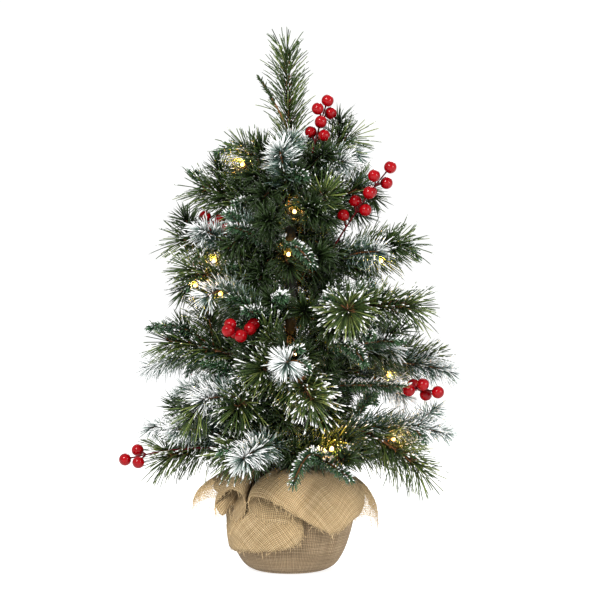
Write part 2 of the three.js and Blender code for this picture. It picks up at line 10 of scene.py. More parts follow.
import bpy
import numpy as np
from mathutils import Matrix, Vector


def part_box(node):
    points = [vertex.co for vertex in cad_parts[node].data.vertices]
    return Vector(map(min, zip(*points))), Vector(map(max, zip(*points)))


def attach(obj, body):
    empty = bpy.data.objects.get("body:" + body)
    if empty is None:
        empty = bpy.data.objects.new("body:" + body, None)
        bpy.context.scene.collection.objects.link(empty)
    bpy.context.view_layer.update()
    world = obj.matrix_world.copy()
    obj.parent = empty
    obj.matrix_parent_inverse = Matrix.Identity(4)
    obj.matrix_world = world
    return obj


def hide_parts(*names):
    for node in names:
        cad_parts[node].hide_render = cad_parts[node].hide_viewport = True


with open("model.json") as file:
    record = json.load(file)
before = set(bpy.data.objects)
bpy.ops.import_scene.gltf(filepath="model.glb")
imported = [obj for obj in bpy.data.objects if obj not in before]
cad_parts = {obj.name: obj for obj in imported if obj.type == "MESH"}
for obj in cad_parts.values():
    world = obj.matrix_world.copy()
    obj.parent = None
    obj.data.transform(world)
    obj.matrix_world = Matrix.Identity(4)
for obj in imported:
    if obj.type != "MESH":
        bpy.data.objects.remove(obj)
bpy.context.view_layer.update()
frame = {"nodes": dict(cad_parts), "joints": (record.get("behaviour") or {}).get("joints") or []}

MM = 0.001
GOLDEN = math.radians(137.508)
UP = np.array([0.0, 0.0, 1.0])


# ---------------------------------------------------------------- camera, light and floor

CENTRE = (0.011, 0.0, 0.298)  # what the camera looks at
DISTANCE = 1.7
LENS, SENSOR = 91.8, 36  # millimetres
LIT_POINT = (0, 0, 0.3)  # what the studio lamps point at
BACKDROP, AMBIENT = 1.05, 0.68  # the surround's strength as it is seen, and as a light
FLOOR_HALF = 8.0
FLOOR_GREY, FLOOR_GLOW = 0.5, 0.78


def put(name, data):
    """A new object in the scene."""
    made = bpy.data.objects.new(name, data)
    bpy.context.scene.collection.objects.link(made)
    return made


def make_camera():
    data = bpy.data.cameras.new("camera")
    data.sensor_width = SENSOR
    data.lens = LENS
    data.clip_end = 50
    camera = put("camera", data)
    camera.location = (CENTRE[0], -DISTANCE, CENTRE[2])
    camera.rotation_euler = (math.radians(90), 0, 0)
    bpy.context.scene.camera = camera


def area_light(name, place, size, power, colour=(1, 1, 1)):
    """A round soft lamp that points at the tree."""
    data = bpy.data.lights.new(name, "AREA")
    data.shape = "DISK"
    data.size = size
    data.energy = power
    data.color = colour
    lamp = put(name, data)
    lamp.location = place
    aim = np.array(LIT_POINT) - np.array(place)
    x, y, z = aim / np.linalg.norm(aim)
    lamp.rotation_euler = (math.acos(-z), 0, math.atan2(-x, y))


def make_studio():
    """A white surround, dimmer as a light than it looks, and three soft lamps."""
    scene = bpy.context.scene
    scene.view_settings.view_transform = "Standard"
    scene.view_settings.look = "None"
    world = bpy.data.worlds.new("studio")
    world.use_nodes = True
    tree = world.node_tree
    backdrop = tree.nodes["Background"]
    backdrop.inputs["Color"].default_value = (1, 1, 1, 1)
    backdrop.inputs["Strength"].default_value = BACKDROP
    ambient = tree.nodes.new("ShaderNodeBackground")
    ambient.inputs["Color"].default_value = (0.98, 0.99, 1, 1)
    ambient.inputs["Strength"].default_value = AMBIENT
    seen = tree.nodes.new("ShaderNodeLightPath")
    blend = tree.nodes.new("ShaderNodeMixShader")
    tree.links.new(seen.outputs["Is Camera Ray"], blend.inputs[0])
    tree.links.new(ambient.outputs[0], blend.inputs[1])
    tree.links.new(backdrop.outputs[0], blend.inputs[2])
    tree.links.new(blend.outputs[0], tree.nodes["World Output"].inputs["Surface"])
    scene.world = world
    area_light("key", (-1.0, -2.0, 1.8), 0.9, 76, (1, 0.985, 0.96))
    area_light("fill", (1.9, -1.5, 0.8), 1.1, 34)
    area_light("back", (0.7, 2.1, 1.9), 1.2, 40)


def make_floor():
    """A pale floor that glows enough to look as white as the surround."""
    data = bpy.data.meshes.new("floor")
    corners = [(x * FLOOR_HALF, y * FLOOR_HALF, 0) for x, y in ((-1, -1), (1, -1), (1, 1), (-1, 1))]
    data.from_pydata(corners, [], [(0, 1, 2, 3)])
    floor = put("floor", data)
    paint = bpy.data.materials.new("floor")
    paint.use_nodes = True
    shader = paint.node_tree.nodes["Principled BSDF"]
    shader.inputs["Base Color"].default_value = (FLOOR_GREY, FLOOR_GREY, FLOOR_GREY, 1)
    shader.inputs["Roughness"].default_value = 1.0
    shader.inputs["Specular IOR Level"].default_value = 0.0
    shader.inputs["Emission Color"].default_value = (1, 1, 1, 1)
    shader.inputs["Emission Strength"].default_value = FLOOR_GLOW
    data.materials.append(paint)


# ---------------------------------------------------------------- materials


class Paint:
    """A node material, built up a node at a time."""

    def __init__(self, name, roughness=0.6, **sockets):
        self.material = bpy.data.materials.new(name)
        self.material.use_nodes = True
        self.tree = self.material.node_tree
        self.shader = self.tree.nodes["Principled BSDF"]
        self.set(Roughness=roughness, **sockets)

    def set(self, **sockets):
        for name, value in sockets.items():
            self.join(value, self.shader.inputs[name.replace("_", " ")])

    def join(self, value, socket):
        if isinstance(value, bpy.types.NodeSocket):
            self.tree.links.new(value, socket)
        elif isinstance(value, tuple) and len(value) == 3 and socket.type == "RGBA":
            socket.default_value = (*value, 1)
        else:
            socket.default_value = value

    def node(self, kind, settings=None, **sockets):
        """A node with its sockets joined, by name, or by number as i0, i1 and so on."""
        made = self.tree.nodes.new(f"ShaderNode{kind}")
        for name, value in (settings or {}).items():
            setattr(made, name, value)
        for name, value in sockets.items():
            key = int(name[1:]) if name[0] == "i" and name[1:].isdigit() else name.replace("_", " ")
            self.join(value, made.inputs[key])
        return made

    def math(self, operation, *values):
        sockets = {f"i{number}": value for number, value in enumerate(values)}
        return self.node("Math", {"operation": operation}, **sockets).outputs[0]

    def attribute(self, name):
        return self.node("Attribute", {"attribute_name": name}).outputs["Fac"]

    def coordinates(self, which="Object"):
        return self.node("TexCoord").outputs[which]

    def noise(self, scale, detail=2.0, where=None):
        where = where or self.coordinates()
        return self.node("TexNoise", Vector=where, Scale=scale, Detail=detail).outputs["Fac"]

    def ramp(self, value, *stops):
        """A colour or grey ramp, from (position, colour) pairs."""
        made = self.node("ValToRGB", Fac=value)
        band = made.color_ramp
        while len(band.elements) < len(stops):
            band.elements.new(0.5)
        for element, (position, colour) in zip(band.elements, stops):
            element.position = position
            element.color = (*colour, 1) if isinstance(colour, tuple) else (colour,) * 3 + (1,)
        return made.outputs["Color"]

    def times(self, colour, value, *stops, share=1.0):
        """The colour multiplied by a grey ramp of value."""
        return self.mix(share, colour, self.ramp(value, *stops), "MULTIPLY")

    def mix(self, share, a, b, blend="MIX"):
        made = self.node("Mix", {"data_type": "RGBA", "blend_type": blend})
        self.join(share, made.inputs[0])
        self.join(a, made.inputs[6])
        self.join(b, made.inputs[7])
        return made.outputs[2]

    def bump(self, height, distance, strength=1.0):
        made = self.node("Bump", Height=height, Distance=distance, Strength=strength)
        self.set(Normal=made.outputs["Normal"])


SNOW = (0.95, 0.96, 0.965)


def needle_paint(name, dark, middle, light, soft, grain):
    """Needles: each takes its green from its `tone`, and is white past `edge`, a share of its length.

    soft is how gradually the snow starts, and grain is how fine its speckles are.
    """
    paint = Paint(name, roughness=0.5)
    paint.shader.inputs["Specular IOR Level"].default_value = 0.3
    green = paint.ramp(paint.attribute("tone"), (0.0, dark), (0.5, middle), (1.0, light))
    green = paint.times(green, paint.noise(420, detail=3), (0.3, 0.4), (0.75, 1.45), share=0.6)
    # painted shade: each needle is darker towards the stem, standing in for the shade at the middle of a
    # sprig
    green = paint.times(green, paint.attribute("along"), (0.0, 0.22), (0.6, 1.0))
    past = paint.math("SUBTRACT", paint.attribute("along"), paint.attribute("edge"))
    speckle = paint.math("SUBTRACT", paint.noise(grain, detail=2), 0.5)
    past = paint.math("ADD", past, paint.math("MULTIPLY", speckle, 0.32))
    cover = paint.ramp(paint.math("ADD", past, 0.5), (0.5 - soft, 0.0), (0.5 + soft, 1.0))
    paint.set(Base_Color=paint.mix(cover, green, SNOW))
    paint.set(Roughness=paint.ramp(cover, (0.0, 0.45), (1.0, 0.9)))
    paint.bump(paint.noise(1500, detail=2), 0.0003, 0.6)
    return paint.material


def wire_paint():
    """Brown paper tape wound round the branch wires."""
    paint = Paint("stem_tape", roughness=0.8)
    turns = paint.node("TexWave", {"bands_direction": "Z"}, Scale=160.0, Distortion=3.0, Detail=2.0)
    colour = paint.ramp(turns.outputs["Fac"], (0.0, (0.095, 0.036, 0.011)), (1.0, (0.40, 0.155, 0.040)))
    paint.set(Base_Color=paint.times(colour, paint.noise(300), (0.3, 0.4), (0.7, 1.3), share=0.5))
    paint.bump(turns.outputs["Fac"], 0.0004, 0.6)
    return paint.material


def berry_paint():
    """Glossy lacquered red, a little uneven, with a dark spot where the stalk enters."""
    paint = Paint("berry_lacquer", roughness=0.2, Coat_Weight=0.2, Coat_Roughness=0.03)
    paint.shader.inputs["Specular IOR Level"].default_value = 0.12
    patches = paint.noise(130, detail=3)
    red = paint.ramp(patches, (0.3, (0.18, 0.000, 0.002)), (0.7, (0.30, 0.000, 0.003)))
    paint.set(Base_Color=paint.mix(paint.attribute("shade"), red, (0.05, 0.003, 0.003)))
    paint.set(Roughness=paint.ramp(paint.noise(500), (0.4, 0.14), (0.7, 0.24)))
    paint.bump(paint.noise(260, detail=3), 0.0005, 0.2)
    return paint.material


def plain_paint(name, dark, light, roughness, scale, bump=0.0002, **sockets):
    """Moulded plastic, wire jacket or similar: two close shades in soft patches and a fine grain."""
    paint = Paint(name, roughness=roughness, **sockets)
    paint.set(Base_Color=paint.ramp(paint.noise(scale, detail=4), (0.3, dark), (0.7, light)))
    low, high = max(0.05, roughness - 0.08), min(1.0, roughness + 0.08)
    paint.set(Roughness=paint.ramp(paint.noise(scale * 3), (0.3, low), (0.7, high)))
    paint.bump(paint.noise(scale * 8, detail=3), bump, 0.4)
    return paint.material


def lens_paint():
    """A lit lamp's clear lens: amber at its foot and white hot at its end."""
    paint = Paint("lamp_glow", roughness=0.1, Base_Color=(1.0, 0.8, 0.45))
    stops = (0.0, (0.9, 0.26, 0.02)), (0.45, (1.0, 0.52, 0.12)), (1.0, (1.0, 0.86, 0.55))
    glow = paint.ramp(paint.attribute("shade"), *stops)
    paint.set(Emission_Color=paint.times(glow, paint.noise(900), (0.3, 0.85), (0.7, 1.0)))
    paint.shader.inputs["Emission Strength"].default_value = 4.0
    return paint.material


WEAVE = 1.9  # millimetres from one burlap thread to the next
WOBBLE = 0.0012  # how far the threads wander from straight, in metres
YARN_FINE, YARN_LONG = 520, 16  # how fast a thread's colour changes across it and along it


def burlap_paint(name, dark, middle, light):
    """Plain jute weave. The UV map holds places on the flat cloth, in metres."""
    paint = Paint(name, roughness=0.95)
    flat = paint.coordinates("UV")
    wobble = paint.node("TexNoise", Vector=flat, Scale=90.0, Detail=2.0)
    scaled = {"i0": wobble.outputs["Color"], "i1": (WOBBLE, WOBBLE, 0), "i2": flat}
    shifted = paint.node("VectorMath", {"operation": "MULTIPLY_ADD"}, **scaled)
    split = paint.node("SeparateXYZ", Vector=shifted.outputs[0])
    pitch = WEAVE * MM
    across = paint.math("MULTIPLY", split.outputs["X"], math.pi / pitch)
    along = paint.math("MULTIPLY", split.outputs["Y"], math.pi / pitch)
    warp = paint.math("ABSOLUTE", paint.math("SINE", across))
    weft = paint.math("ABSOLUTE", paint.math("SINE", along))
    # Which thread is on top changes at each crossing, as the product of the two half-frequency waves.
    turn = paint.math("MULTIPLY", paint.math("COSINE", across), paint.math("COSINE", along))
    on_top = paint.math("MULTIPLY_ADD", turn, 0.5, 0.5)
    mixed = paint.node("Mix", {"data_type": "FLOAT"}, i0=on_top, i2=warp, i3=weft).outputs[0]
    both = paint.math("MULTIPLY", paint.math("POWER", warp, 0.4), paint.math("POWER", weft, 0.4))
    relief = paint.math("MULTIPLY", paint.math("ADD", mixed, 0.25), both)
    yarns = []
    for stretch in ((YARN_FINE, YARN_LONG, 0), (YARN_LONG, YARN_FINE, 0)):
        drawn_out = paint.node("VectorMath", {"operation": "MULTIPLY"}, i0=flat, i1=stretch)
        yarns.append(paint.noise(1.0, where=drawn_out.outputs[0]))
    yarn = paint.math("MULTIPLY", paint.math("ADD", *yarns), 0.5)
    straw = paint.ramp(yarn, (0.32, dark), (0.5, middle), (0.68, light))
    # painted shade: the relief darkens the gaps between threads and the thread lying under at each crossing
    shaded = paint.times(straw, relief, (0.0, 0.15), (0.35, 0.64), (0.9, 1.05))
    stains = paint.noise(22, detail=3, where=flat)
    paint.set(Base_Color=paint.times(shaded, stains, (0.3, 0.86), (0.7, 1.08)))
    fibres = paint.math("MULTIPLY", paint.noise(1400, detail=3, where=flat), 0.35)
    paint.bump(paint.math("ADD", relief, fibres), 0.0011, 0.9)
    return paint.material


PINE_GREENS = (0.010, 0.024, 0.005), (0.050, 0.092, 0.019), (0.290, 0.345, 0.090)
FLOCKED_GREENS = (0.022, 0.064, 0.048), (0.130, 0.230, 0.185), (0.360, 0.480, 0.415)
FIR_GREENS = (0.008, 0.030, 0.011), (0.036, 0.105, 0.040), (0.130, 0.260, 0.115)

PAINT = {
    "pine": needle_paint("pine_needles", *PINE_GREENS, soft=0.05, grain=900),
    "flocked": needle_paint("flocked_needles", *FLOCKED_GREENS, soft=0.22, grain=1100),
    "fir": needle_paint("fir_needles", *FIR_GREENS, soft=0.08, grain=1300),
    "stem": wire_paint(),
    "berry": berry_paint(),
    "stalk": plain_paint(
        "stalk_wax", (0.040, 0.002, 0.003), (0.110, 0.003, 0.007), 0.45, 260, Specular_IOR_Level=0.1
    ),
    "lead": plain_paint("lead_jacket", (0.006, 0.024, 0.012), (0.018, 0.055, 0.028), 0.38, 200),
    "lens": lens_paint(),
    "burlap": burlap_paint("jute_weave", (0.38, 0.26, 0.118), (0.54, 0.38, 0.192), (0.71, 0.53, 0.305)),
    # painted shade: the bag's jute is the same cloth as the skirt's, in darker colours for the shade it sits
    # in under the turned-over top
    "bag": burlap_paint("jute_weave_painted_shade", (0.25, 0.168, 0.090), (0.37, 0.260, 0.145), (0.51, 0.380, 0.228)),
    "thread": plain_paint("jute_thread", (0.42, 0.29, 0.14), (0.68, 0.51, 0.29), 0.95, 400),
    "twine": plain_paint("jute_twine", (0.36, 0.24, 0.11), (0.60, 0.42, 0.22), 0.95, 300),
    "tape": plain_paint("floral_tape", (0.012, 0.014, 0.010), (0.038, 0.038, 0.028), 0.75, 90, 0.0005),
    "pot": plain_paint("pot_plastic", (0.045, 0.045, 0.042), (0.065, 0.065, 0.06), 0.6, 40),
    "cement": plain_paint("cast_cement", (0.34, 0.33, 0.30), (0.52, 0.50, 0.46), 0.95, 70, 0.0008),
    "steel": plain_paint(
        "plated_steel", (0.55, 0.55, 0.56), (0.72, 0.72, 0.72), 0.3, 60, 0.00005, Metallic=1.0
    ),
    "case": plain_paint("case_plastic", (0.012, 0.042, 0.024), (0.022, 0.062, 0.036), 0.45, 50),
    "switch": plain_paint("switch_plastic", (0.02, 0.02, 0.02), (0.04, 0.04, 0.04), 0.4, 60),
    "cell": plain_paint(
        "cell_jacket", (0.30, 0.27, 0.09), (0.42, 0.38, 0.15), 0.3, 30, 0.00005, Metallic=0.7
    ),
}


# ---------------------------------------------------------------- meshes


def branch_frame(name):
    """A branch's azimuth in radians and its root's height in millimetres, from its joint."""
    joint = next(j for j in frame["joints"] if j["name"] == f"bend_{name}")
    x, y, z = joint["pos_m"]
    return math.atan2(y, x), z / MM


def to_row(x, y, z, place):
    """A branch's own coordinates turned to azimuth place[0] and lifted by place[1]."""
    azimuth, height = place
    c, s = math.cos(azimuth), math.sin(azimuth)
    return x * c - y * s, x * s + y * c, z + height


class Shape:
    """Points in millimetres, triangles and values at the points, gathered for one object."""

    def __init__(self, *values):
        self.points = []
        self.faces = []
        self.values = {name: [] for name in values}
        self.count = 0

    def add(self, points, faces, **values):
        self.points.append(np.asarray(points, float))
        self.faces.append(np.asarray(faces, int) + self.count)
        for name, held in self.values.items():
            held.append(np.broadcast_to(values.get(name, 0.0), len(points)).astype(float))
        self.count += len(points)

    def make(self, name, material, place=(0.0, 0.0)):
        """The object, turned to azimuth place[0] and lifted by place[1]."""
        points = np.stack(to_row(*np.concatenate(self.points).T, place), 1) * MM
        faces = np.concatenate(self.faces)
        data = bpy.data.meshes.new(name)
        data.vertices.add(len(points))
        data.vertices.foreach_set("co", points.astype(np.float32).ravel())
        data.loops.add(faces.size)
        data.loops.foreach_set("vertex_index", faces.astype(np.int32).ravel())
        data.polygons.add(len(faces))
        data.polygons.foreach_set("loop_start", np.arange(0, faces.size, 3, dtype=np.int32))
        data.polygons.foreach_set("use_smooth", np.ones(len(faces), bool))
        data.update(calc_edges=True)
        for label, held in self.values.items():
            layer = data.attributes.new(label, "FLOAT", "POINT")
            layer.data.foreach_set("value", np.concatenate(held).astype(np.float32))
        data.materials.append(material)
        return put(name, data)


class Arch:
    """A curve between two points that rises by `bow` times its length above the straight line."""

    def __init__(self, start, end, bow):
        self.start = np.array(start, float)
        self.end = np.array(end, float)
        self.length = np.linalg.norm(self.end - self.start)
        self.middle = (self.start + self.end) / 2 + 2 * bow * self.length * UP

    def at(self, t):
        t = np.asarray(t, float)[..., None]
        return (1 - t) ** 2 * self.start + 2 * t * (1 - t) * self.middle + t**2 * self.end

    def along(self, t):
        t = np.asarray(t, float)[..., None]
        way = (1 - t) * (self.middle - self.start) + t * (self.end - self.middle)
        return way / np.linalg.norm(way, axis=-1, keepdims=True)


def unit(vectors):
    return vectors / np.maximum(np.linalg.norm(vectors, axis=-1, keepdims=True), 1e-9)


def across(ways):
    """Two directions square to each of ways and to each other. The first is level."""
    side = np.cross(ways, UP)
    level = np.linalg.norm(side, axis=-1, keepdims=True)
    side = np.where(level > 1e-3, side / np.maximum(level, 1e-9), [1.0, 0.0, 0.0])
    return side, unit(np.cross(side, ways))


def tube(shape, path, radii, sides=8, **values):
    """A closed round bar along the points of path."""
    path = np.asarray(path, float)
    count = len(path)
    radii = np.broadcast_to(radii, count)
    ways = unit(np.gradient(path, axis=0))
    normal = across(ways[:1])[0][0]
    turns = np.arange(sides) * 2 * math.pi / sides
    points = []
    for place, way, radius in zip(path, ways, radii):
        normal = unit(normal - way * (normal @ way))
        other = np.cross(way, normal)
        ring = np.cos(turns)[:, None] * normal + np.sin(turns)[:, None] * other
        points.append(place + radius * ring)
    points = np.concatenate([*points, path[:1], path[-1:]])
    near = np.arange(sides)
    far = (near + 1) % sides
    faces = []
    for k in range(count - 1):
        a, b = k * sides, (k + 1) * sides
        faces.append(np.stack([a + near, a + far, b + far], 1))
        faces.append(np.stack([a + near, b + far, b + near], 1))
    head, foot = count * sides, count * sides + 1
    last = (count - 1) * sides
    faces.append(np.stack([far, near, np.full(sides, head)], 1))
    faces.append(np.stack([last + near, last + far, np.full(sides, foot)], 1))
    shape.add(points, np.concatenate(faces), **values)


def bar(shape, curve, count, thick, thin, sides=8, until=1.0):
    """A round bar along an arch, up to that share of it, from one radius to the other."""
    tube(shape, curve.at(np.linspace(0, until, count)), np.linspace(thick, thin, count), sides)


def ball(shape, centre, radius, pole=(0, 0, 1), rings=12, sides=20, dimple=0.0, shade=0.0):
    """A round ball, pushed in at its pole by dimple times its radius."""
    pole = unit(np.array(pole, float))
    side, other = across(pole)
    tilt = np.linspace(0, math.pi, rings + 1)
    turn = np.arange(sides) * 2 * math.pi / sides
    reach = radius * (1 - dimple * np.exp(-((tilt / 0.32) ** 2)))
    points = [centre + pole * reach[0]]
    for a, r in zip(tilt[1:-1], reach[1:-1]):
        ring = np.cos(turn)[:, None] * side + np.sin(turn)[:, None] * other
        points.extend(centre + r * (math.cos(a) * pole + math.sin(a) * ring))
    points.append(centre - pole * reach[-1])
    near = np.arange(sides)
    far = (near + 1) % sides
    faces = [np.stack([np.zeros(sides, int), 1 + near, 1 + far], 1)]
    for k in range(rings - 2):
        a, b = 1 + k * sides, 1 + (k + 1) * sides
        faces.append(np.stack([a + near, b + near, b + far], 1))
        faces.append(np.stack([a + near, b + far, a + far], 1))
    last = 1 + (rings - 2) * sides
    faces.append(np.stack([last + near, np.full(sides, len(points) - 1), last + far], 1))
    shades = np.exp(-((np.repeat(tilt, [1] + [sides] * (rings - 1) + [1]) / 0.2) ** 2)) * shade
    shape.add(np.array(points), np.concatenate(faces), shade=shades)


# ---------------------------------------------------------------- needles

# For each kind: needle length, width and thickness, needles per millimetre of stem, the angle between
# needle and stem and its spread in degrees, how much that closes at the tip, droop, how round the sprig
# is, how far short of the tip's end the wire stops, the longest share of a needle that snow covers, how
# evenly it lies round the stem, how much of it there is at the stem's start, and the needles in the
# closing tuft. The profile is the needle's breadth along its length. The last kind is the growth close
# to the pole, which wears the pine's paint in only its darker greens, as painted shade of the dense core.
NEEDLES = {
    "pine": dict(
        length=43, width=1.05, thick=0.9, density=2.6, open=47, spread=8, closing=0.12, sag=0.09, round=1.0,
        short=27, snow=0.31, even=0.7, near=0.25, tuft=9,
        profile=((0.0, 0.8), (0.4, 1.0), (0.8, 1.0), (0.965, 0.9)),
    ),
    "flocked": dict(
        length=26.5, width=0.95, thick=0.6, density=4.3, open=58, spread=10, closing=0.2, sag=0.05,
        round=0.75, short=16, snow=0.95, even=0.75, near=0.05, tuft=12,
        profile=((0.0, 0.6), (0.42, 1.0), (0.86, 0.85)),
    ),
    "fir": dict(
        length=12.5, width=1.45, thick=0.7, density=3.4, open=56, spread=5, closing=0.4, sag=0.02, round=0.55,
        short=8, snow=0.7, even=0.0, near=0.8, tuft=8, profile=((0.0, 0.6), (0.42, 1.0), (0.88, 0.8)),
    ),
    "inner": dict(
        length=33, width=1.7, thick=0.8, density=3.4, open=55, spread=16, closing=0.3, sag=0.05, round=1.0,
        snow=0.1, even=1.0, near=1.0, tuft=8, profile=((0.0, 0.8), (0.6, 1.0)),
    ),
}
FEWEST = 12  # needles on the shortest sprig
TUFT_SPAN = 0.03  # share of the stem, at its end, that the closing tuft grows from
LENGTHS, WIDTHS = (0.76, 1.06), (0.8, 1.15)  # ranges that a needle's own length and width vary over
SNOW_SWELL = 0.4  # how much snow widens a needle
CHECKED = (0.15, 0.3, 0.45, 0.6, 0.75, 0.9, 1.0)  # places along a needle where it has to be clear
# painted shade: the growth close to the pole takes only the darker greens, standing in for the shade of the
# tree's dense core; the leader's thin twig, grown as this kind, gets them too
DARKEST = {"inner": 0.35}  # how much of the range of greens a kind uses
CORNERS = ((-0.5, -0.3), (0.5, -0.3), (0.0, 0.6))  # a needle's three-sided section


def needle_faces(rings):
    """The triangles of one needle: its cut end, its sides and its point."""
    faces = [(0, 2, 1)]
    for a in range(0, 3 * (rings - 1), 3):
        for i in range(3):
            j = (i + 1) % 3
            faces += [(a + i, a + j, a + 3 + j), (a + i, a + 3 + j, a + 3 + i)]
    a = 3 * (rings - 1)
    return np.array(faces + [(a + i, a + (i + 1) % 3, a + 3) for i in range(3)])


def kept_clear(points, place, in_view):
    """Which needles miss the pole and the battery box, and hide nothing that is seen from the front.

    points is (needles, points, 3) in a branch's coordinates, and in_view is rows of x, y, z, radius.
    """
    x, y, z = to_row(*np.moveaxis(points, -1, 0), place)
    keep = ((np.hypot(x, y) > TRUNK) | (z > POLE_TOP)).all(1)
    low, high = BOX_LOW - 1, BOX_HIGH + 1
    boxed = (x > low[0]) & (x < high[0]) & (y > low[1]) & (y < high[1]) & (z > low[2]) & (z < high[2])
    keep &= ~boxed.any(1)
    for sx, sy, sz, radius in in_view:
        keep &= ~((np.hypot(x - sx, z - sz) < radius) & (y < sy + 3)).any(1)
    return keep


def grow(shape, curve, first, kind, frost, rng, scale=1.0, open_by=0.0, place=(0.0, 0.0)):
    """Needles on curve from the share first to its end. frost is how much snow they carry, 0 to 1."""
    look = NEEDLES[kind]
    span = curve.length * (1 - first)
    count = max(FEWEST, int(span * look["density"]))
    tuft = look["tuft"]
    share = np.concatenate([(np.arange(count) + rng.random(count)) / count, 1 - TUFT_SPAN * rng.random(tuft)])
    total = len(share)
    t = first + (1 - first) * share
    base = curve.at(t)
    way = curve.along(t)
    side, over = across(way)
    turn = np.arange(total) * GOLDEN + rng.normal(0, 0.5, total)
    ring = unit(np.cos(turn)[:, None] * side + np.sin(turn)[:, None] * over * look["round"])
    tip = np.clip((share - 0.6) / 0.4, 0, 1)
    angle = np.radians(look["open"] + open_by + rng.normal(0, look["spread"], total))
    angle = angle * (1 - look["closing"] * tip**2)
    angle[count:] *= rng.uniform(0.2, 1.0, tuft)
    axis = np.cos(angle)[:, None] * way + np.sin(angle)[:, None] * ring
    length = look["length"] * scale * rng.uniform(*LENGTHS, total) * (1 - 0.1 * tip)
    width = look["width"] * rng.uniform(*WIDTHS, total)
    bend = (rng.normal(0, 0.06, (total, 3)) - look["sag"] * UP) * length[:, None]
    flat = unit(np.cross(axis, way) + rng.normal(0, 0.25, (total, 3)))
    flat = unit(flat - axis * (flat * axis).sum(1, keepdims=True))
    thick = np.cross(axis, flat)

    # Snow settles on what points up and out, so those needles are white for more of their length.
    even = look["even"]
    settled = look["near"] + (1 - look["near"]) * np.clip((share - 0.25) / 0.6, 0, 1) ** 1.7
    lit = frost * settled * np.clip(even + (1 - even) * ring[:, 2] + 0.12 * axis[:, 2], 0, 1)
    lit = lit * rng.uniform(0.35, 1.25, total)
    edge = 1 - look["snow"] * lit
    points = []
    for s, breadth in (*look["profile"], (1.0, 0.0)):
        middle = base + axis * (length * s)[:, None] + bend * s**2
        grown = breadth * (1 + SNOW_SWELL * frost * np.clip((s - edge) / 0.1, 0, 1))
        for x, y in CORNERS if breadth else ((0, 0),):
            across_it = flat * (x * width * grown)[:, None]
            points.append(middle + across_it + thick * (y * look["thick"] * grown)[:, None])
    points = np.stack(points, 1)
    tone = rng.beta(2.0, 2.6, total) * DARKEST.get(kind, 1.0)
    between = [base[:, None] + (points[:, -1:] - base[:, None]) * s for s in CHECKED]
    keep = kept_clear(np.concatenate(between, 1), place, IN_VIEW)
    points, tone, edge = points[keep], tone[keep], edge[keep]
    total, per = points.shape[:2]
    stations = np.append(np.repeat([s for s, _ in look["profile"]], 3), 1.0)
    faces = needle_faces(len(look["profile"]))[None] + (np.arange(total) * per)[:, None, None]
    shape.add(
        points.reshape(-1, 3),
        faces.reshape(-1, 3),
        tone=np.repeat(tone, per),
        along=np.tile(stations, total),
        edge=np.repeat(edge, per),
    )


# ---------------------------------------------------------------- branches

